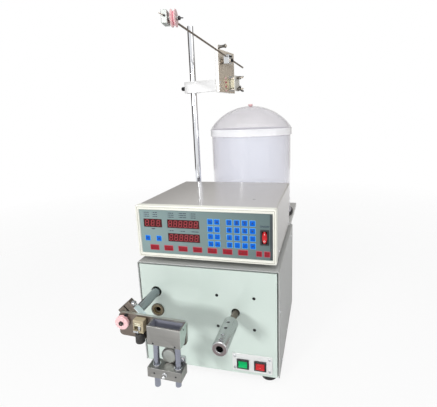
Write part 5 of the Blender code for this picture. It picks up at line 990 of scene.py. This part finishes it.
def dressPost():
    foot = mm((8.1, 0), (18, 0), (18.5, 0.6), (18.5, 5.2), (17.8, 6), (14, 6.6), (13.5, 7.6), (13.5, 29),
              (12.5, 30), (8.1, 30))
    footZ = 0.2396
    at = move((postAt[0], postAt[1], footZ))
    make("postFoot", lathe(foot, "Z", 56), "black", at=at, replaces="post_base")
    screw = facing((postAt[0], postAt[1] - 0.0135, footZ + 0.020), (0, -1, 0))
    make("postFootScrew", heads(0.0030, 0.0030, [screw]), "darkSteel")
    rod = mm((0, 239.6), (7.2, 239.6), (8, 240.4), (8, 763), (7.4, 764), (6.6, 764.4), (0, 764.4))
    make("postBar", lathe(rod), "chrome", "mast", postFrame, replaces="post")


def dressBracket():
    onBracket = partial(make, body="bracket", at=bracketFrame)
    dress("clampBarSkin", "post_clamp_bar", "alloyBright", "bracket", bracketFrame, 0.0006)
    dress("tensionPlateSkin", "tension_plate", "tensionAlloy", "bracket", bracketFrame, 0.0005)
    screws = [(screwHead(0.0050, 0.0055, "hex"), facing((-0.014, 0.0115, z), (0, 1, 0)))
              for z in (0.602, 0.616)]
    screws.append((screwHead(0.0055, 0.0130, "hex"), facing((-0.022, -0.003, 0.607), (-1, 0, 0))))
    onBracket("barScrews", joined(screws), "darkSteel")
    screws = [facing((0.0878, -0.0050, 0.602 + 0.014 * i), (1, 0, 0), 30 * i) for i in (0, 1)]
    onBracket("plateScrews", heads(0.0024, 0.0008, screws, "cross"), "zinc")
    eyelet = mm((1, 0.6), (2.4, 0.6), (3, 0.1), (3, -0.4), (2.1, -0.4), (2.1, -9), (1, -9))
    for index, finish in enumerate(("pink", "rose", "rose", "pink")):
        make(f"plateEyelet{index}", lathe(eyelet, "X", 24), finish, "bracket",
             bracketFrame @ move((0.0882, 0.027, 0.597 + 0.0105 * index)))
    roller = mm((1.8, -10), (4.4, -10), (5, -9.6), (5, -8.6), (4.3, -7.6), (3.6, -4.5))
    roller += [(0.0034, 0.0)] + [(r, -x) for r, x in roller[::-1]]
    make("wireRoller", lathe(roller, "X", 40), "nutSteel", "roller",
         bracketFrame @ move((0.0981, -0.0050, 0.7020)), replaces="top_roller")


def dressArm():
    onArm, onTip = partial(make, body="arm", at=armFrame), partial(make, body="arm", at=tipFrame)
    dress("armHub", "tension_arm", "zinc", "arm", armFrame, 0.0005)
    rod = {"front": 0.2475, "back": 0.0875, "hub": 0.0092, "rise": 0.0087}
    rodFrame = armFrame @ move((0, 0, rod["rise"])) @ Matrix.Rotation(-armRise, 4, "X")
    stretch = 1 / math.cos(armRise)
    for label, start, end in (("armRodFront", -rod["front"] * stretch, -rod["hub"]),
                              ("armRodBack", rod["hub"], rod["back"] * stretch)):
        profile = [(0, start), (0.0017, start), (0.00215, start + 0.0005), (0.00215, end - 0.0005),
                   (0.0017, end), (0, end)]
        make(label, lathe(profile, "Y", 24), "wireSteel", "arm", rodFrame)
    screws = [(screwHead(0.0024, 0.0016), facing((0.0085, y, z), (1, 0, 0), 30))
              for y, z in ((-0.0050, 0.0095), (0.0050, 0.0105))]
    screws.append((screwHead(0.0026, 0.0018, "hex"), facing((0.002, -0.004, 0.0140), (0, 0, 1))))
    onArm("hubScrews", joined(screws), "darkSteel")
    make("armSpringCoil", helix(0.0058, 0.0010, 0.0016, 3.0), "wireSteel", "arm",
         armFrame @ move((-0.0139, 0, 0)) @ turn(90, "Y"), replaces="arm_spring")
    make("pivotCap", heads(0.0046, 0.0028, [facing((0.0116, 0, 0), (1, 0, 0))]), "darkSteel", "bracket",
         armFrame)

    dress("tipBlock", "arm_tip_block", "tipAlloy", "arm", tipFrame, 0.0006)
    onWheel = partial(make, body="tip_wheel", at=tipFrame @ move((0.01545, 0.004, 0)))
    onWheel("tipWheel", wheel(0.0165, 0.0120, 0.0105, 0.0026, "X"), "pink", replaces="tip_pulley")
    groove = mm((12.1, -1), (12.6, -0.7), (12.6, 0.7), (12.1, 1), (11.2, 1), (11.2, -1))
    onWheel("tipWheelGroove", lathe(groove, "X", 48), "rose")
    nuts = [(wingNut(), move((0.0222, 0.004, 0)) @ turn(14, "X") @ Matrix.Scale(0.85, 4)),
            (screwHead(0.0022, 0.0020, "hex"), facing((0.0002, -0.0130, 0.0012), (0, -1, 0)))]
    onTip("tipScrews", joined(nuts), "darkSteel")
    pin = lathe(mm((0, 0), (0.9, 0), (0.9, 9.8), (0.6, 10.4), (0, 10.4)), "Z", 20)
    onTip("tipPin", joined([(pin, facing((0.0002, -0.0146, 0.0014), (-0.90, -0.05, 0.42)))]), "wireSteel")


def dressFeltUnit():
    # The felt pad between its plates, on two studs with wing nuts and springs
    onBracket = partial(make, body="bracket", at=bracketFrame)
    felt = {"y": 0.057, "z": 0.616, "nutX": 0.1098, "springX": 0.1062}
    middle = (felt["y"], felt["z"])
    dress("feltPadBody", "felt_pad", "felt", "bracket", bracketFrame, 0.0010, 3)
    dress("pressPlateSkin", "press_plate", "pressPaint", "bracket", bracketFrame, 0.0005)
    onBracket("feltSeam", prism(rounded(0.0163, 0.0238, 0.004, 4, middle), 0.0954, 0.0957, "X"), "beige",
              slot="felt")
    onBracket("backingPlate", prism(rounded(0.028, 0.040, 0.004, 4, middle), 0.08782, 0.08808, "X"), "zinc")
    for label, z, lean in (("upper", 0.6305, 20), ("lower", 0.6015, -35)):
        make(label + "WingNut", wingNut(), "nutSteel", "nut_" + label,
             bracketFrame @ move((felt["nutX"], felt["y"], z)) @ turn(lean, "X"), 0.0003,
             replaces="wing_nut_" + label, angle=45)
        make(label + "NutSpring", helix(0.0032, 0.0006, 0.0008, 3.2), "wireSteel", "bracket",
             bracketFrame @ move((felt["springX"], felt["y"], z)) @ turn(90, "Y"))
    print("tensioner dressed")


# The wire bucket behind
def dressBucket():
    bucket = {"radius": 0.1155, "wall": 0.0026, "foot": 0.2478, "top": 0.4922, "lid": 0.1180, "skirt": 0.4734,
              "shoulder": 0.4950, "apex": 0.5570, "eye": 0.0062}
    r, wall, foot, top, lid, skirt, shoulder, apex, hole = bucket.values()
    base = mm((0, 239.5), (122.5, 239.5), (123.5, 239.9), (124, 241), (124, 245.5), (123.2, 246.8),
              (121.8, 247.4), (0, 247.4))
    make("bucketFoot", lathe(base, "Z", 128), "baseBlack", at=bucketFrame, replaces="bucket_base")
    profile = [(r - wall, foot), (r + 0.004, foot), (r + 0.004, foot + 0.003), (r + 0.003, foot + 0.0042),
               (r, foot + 0.006), (r, top - 0.001), (r - 0.001, top), (r - wall + 0.0006, top),
               (r - wall, top - 0.0006)]
    make("bucketBody", lathe(profile, "Z", 144), "milkWall", at=bucketFrame, replaces="bucket_wall")

    def cap(radius, peak, count):
        # Part of a ball, from its rim to the hole in the middle
        rise = peak - shoulder
        ball = (radius ** 2 + rise ** 2) / (2 * rise)
        spots = [radius + (hole - radius) * (i / count) ** 0.9 for i in range(1, count + 1)]
        return [(x, peak - ball + math.sqrt(ball ** 2 - x ** 2)) for x in spots]
    outside = [(lid, skirt + 0.0006), (lid, shoulder - 0.0016), (lid - 0.0004, shoulder - 0.0004)]
    outside += cap(lid, apex, 26) + [(0.0042, apex + 0.0002), (0.0040, apex - 0.0026)]
    inside = cap(lid - 0.0024, apex - 0.0022, 22)[::-1]
    ledge = [(lid - 0.006, top + 0.0003), (r + 0.0005, top + 0.0003), (r + 0.0005, skirt),
             (lid - 0.0006, skirt)]
    onLid = partial(make, body="lid", at=bucketFrame)
    onLid("lidDome", lathe(outside + inside + ledge, "Z", 144), "milk", replaces="bucket_lid")
    band = [(lid + out, skirt + up) for out, up in mm((0.1, 1), (0.9, 1.6), (1.1, 3.2), (0.5, 4.6))]
    band += [(lid + out, shoulder - down) for out, down in mm((0.5, 5.2), (1.1, 3.8), (0.9, 2.2), (0.1, 1.6))]
    onLid("lidBand", lathe(band, "Z", 144), "milkBand")
    eye = mm((3, 5.2), (3.6, 5.6), (5.2, 5.6), (6.4, 4.6), (6.8, 3), (6.2, 1.2), (6.2, 0.2), (4, 0.2),
             (4, -3), (5.8, -3), (5.8, -4), (3, -4.4))
    onLid("lidEye", lathe([(x, apex + z) for x, z in eye], "Z", 48), "pink")
    print("bucket dressed")


# Camera, lamps and the pale studio
def setCamera():
    view = {"spot": (0.2196268, -0.7535491, 0.5211954), "yaw": -0.249, "pitch": -0.2272, "roll": -0.0316,
            "focal": 340.8684, "centre": (235.0, 198.0), "width": 437.0, "height": 407.0}
    yaw, pitch, roll = (view[name] for name in ("yaw", "pitch", "roll"))
    ahead = Vector((math.sin(yaw) * math.cos(pitch), math.cos(yaw) * math.cos(pitch), math.sin(pitch)))
    level = Vector((math.cos(yaw), -math.sin(yaw), 0.0))
    upright = level.cross(ahead)
    right = math.cos(roll) * level + math.sin(roll) * upright
    above = -math.sin(roll) * level + math.cos(roll) * upright
    lens = bpy.data.cameras.new("photoCamera")
    lens.sensor_width = 36.0
    lens.lens = view["focal"] / view["width"] * lens.sensor_width
    lens.shift_x = (view["width"] / 2 - view["centre"][0]) / view["width"]
    lens.shift_y = (view["centre"][1] - view["height"] / 2) / view["width"]
    lens.clip_start, lens.clip_end = 0.02, 60.0
    aim = Matrix((right, above, -ahead)).transposed().to_4x4()
    scene.camera = placed("photoCamera", lens, move(view["spot"]) @ aim)


def setLamps():
    lamps = {"key": {"spot": (-0.64, -2.0, 0.75), "size": 0.34, "power": 20.0},
             "fill": {"spot": (2.2, -0.7, 1.0), "size": 1.4, "power": 10.0},
             "top": {"spot": (0.0, -0.7, 2.0), "size": 1.5, "power": 13.0}}
    target = Vector((0.0, 0.0, 0.3))
    for name, lamp in lamps.items():
        data = bpy.data.lights.new(name + "Lamp", "AREA")
        data.shape, data.size, data.energy = "SQUARE", lamp["size"], lamp["power"]
        aim = (target - Vector(lamp["spot"])).to_track_quat("-Z", "Y").to_matrix().to_4x4()
        placed(name + "Lamp", data, move(lamp["spot"]) @ aim)


def setRoom():
    # Soft grey light for the object, white for the eye and for reflections
    white = (1.0, 1.0, 1.0, 1.0)
    scene.world = bpy.data.worlds.new("studioRoom")
    scene.world.use_nodes = True
    room = Nodes(scene.world.node_tree, "Background")
    eye, through, mirror = (room.node("LightPath", output=f"Is {ray} Ray")
                            for ray in ("Camera", "Transmission", "Glossy"))
    most = {"operation": "MAXIMUM"}
    shown = room.node("Math", most, {0: room.node("Math", most, {0: eye, 1: through}), 1: mirror})
    room.feed("Color", white)
    room.feed("Strength", room.node("MapRange", None, {"Value": shown, "To Min": 0.38, "To Max": 1.0}))

    floor = Finish("paleFloor", (0.94, 0.94, 0.94, 1.0), 0.6)
    reach = floor.node("VectorMath", {"operation": "LENGTH"}, {0: floor.where()}, 1)
    own, pale = Signal(floor, floor.target.outputs[0]), floor.node("Emission", None, {"Color": white})
    near = floor.node("MixShader", None, {0: floor.node("LightPath") * 0.86, 1: own, 2: pale})
    faded = floor.node("MixShader", None, {0: floor.ramp(reach, 0.7, 2.2), 1: near,
                                           2: floor.node("BsdfTransparent")})
    floor.tree.links.new(faded.socket, floor.tree.nodes["Material Output"].inputs["Surface"])
    circle = bmesh.new()
    bmesh.ops.create_circle(circle, cap_ends=True, segments=96, radius=2.4)
    data = meshOf("studioFloor", circle)
    data.materials.append(floor.material)
    placed("studioFloor", data, move((0.0, 0.0, -0.0125)))

    # A dim wall round the back and the sides, which only reflections see
    wall = {"radius": 3.0, "low": -0.02, "high": 1.7, "left": -125, "right": 115,
            "dark": (0.11, 0.10, 0.09, 1.0),
            "light": (0.52, 0.48, 0.44, 1.0), "upper": (0.44, 0.43, 0.41, 1.0)}
    dim = Finish("dimWall", (0.0, 0.0, 0.0, 1.0), 1.0)
    lower = dim.mix(dim.ramp(dim.along("X"), -1.2, 2.0), wall["dark"], wall["light"])
    raised = dim.ramp(dim.along("Z"), 0.75, 1.0) * dim.ramp(dim.along("X"), -2.0, -1.6)
    dim.feed("Emission Color", dim.mix(raised, lower, wall["upper"]))
    dim.feed("Emission Strength", 1.0)
    angles = [math.radians(degrees) for degrees in range(wall["left"], wall["right"] + 1, 10)]
    band = bmesh.new()
    low, high = (ring(band, [(wall["radius"] * math.sin(a), wall["radius"] * math.cos(a), z) for a in angles])
                 for z in (wall["low"], wall["high"]))
    for a, b, c, d in zip(low, low[1:], high[1:], high):
        band.faces.new((a, b, c, d))
    data = meshOf("dimWall", band)
    data.materials.append(dim.material)
    made = placed("dimWall", data)
    made.visible_camera = made.visible_diffuse = made.visible_transmission = made.visible_shadow = False
    scene.view_settings.view_transform = "Standard"
    print("studio set")


for stage in (dressCabinet, dressDrive, dressSwitches, dressBox, dressKeys, dressGuide, dressPost,
              dressBracket, dressArm, dressFeltUnit, dressBucket, setCamera, setLamps, setRoom):
    stage()
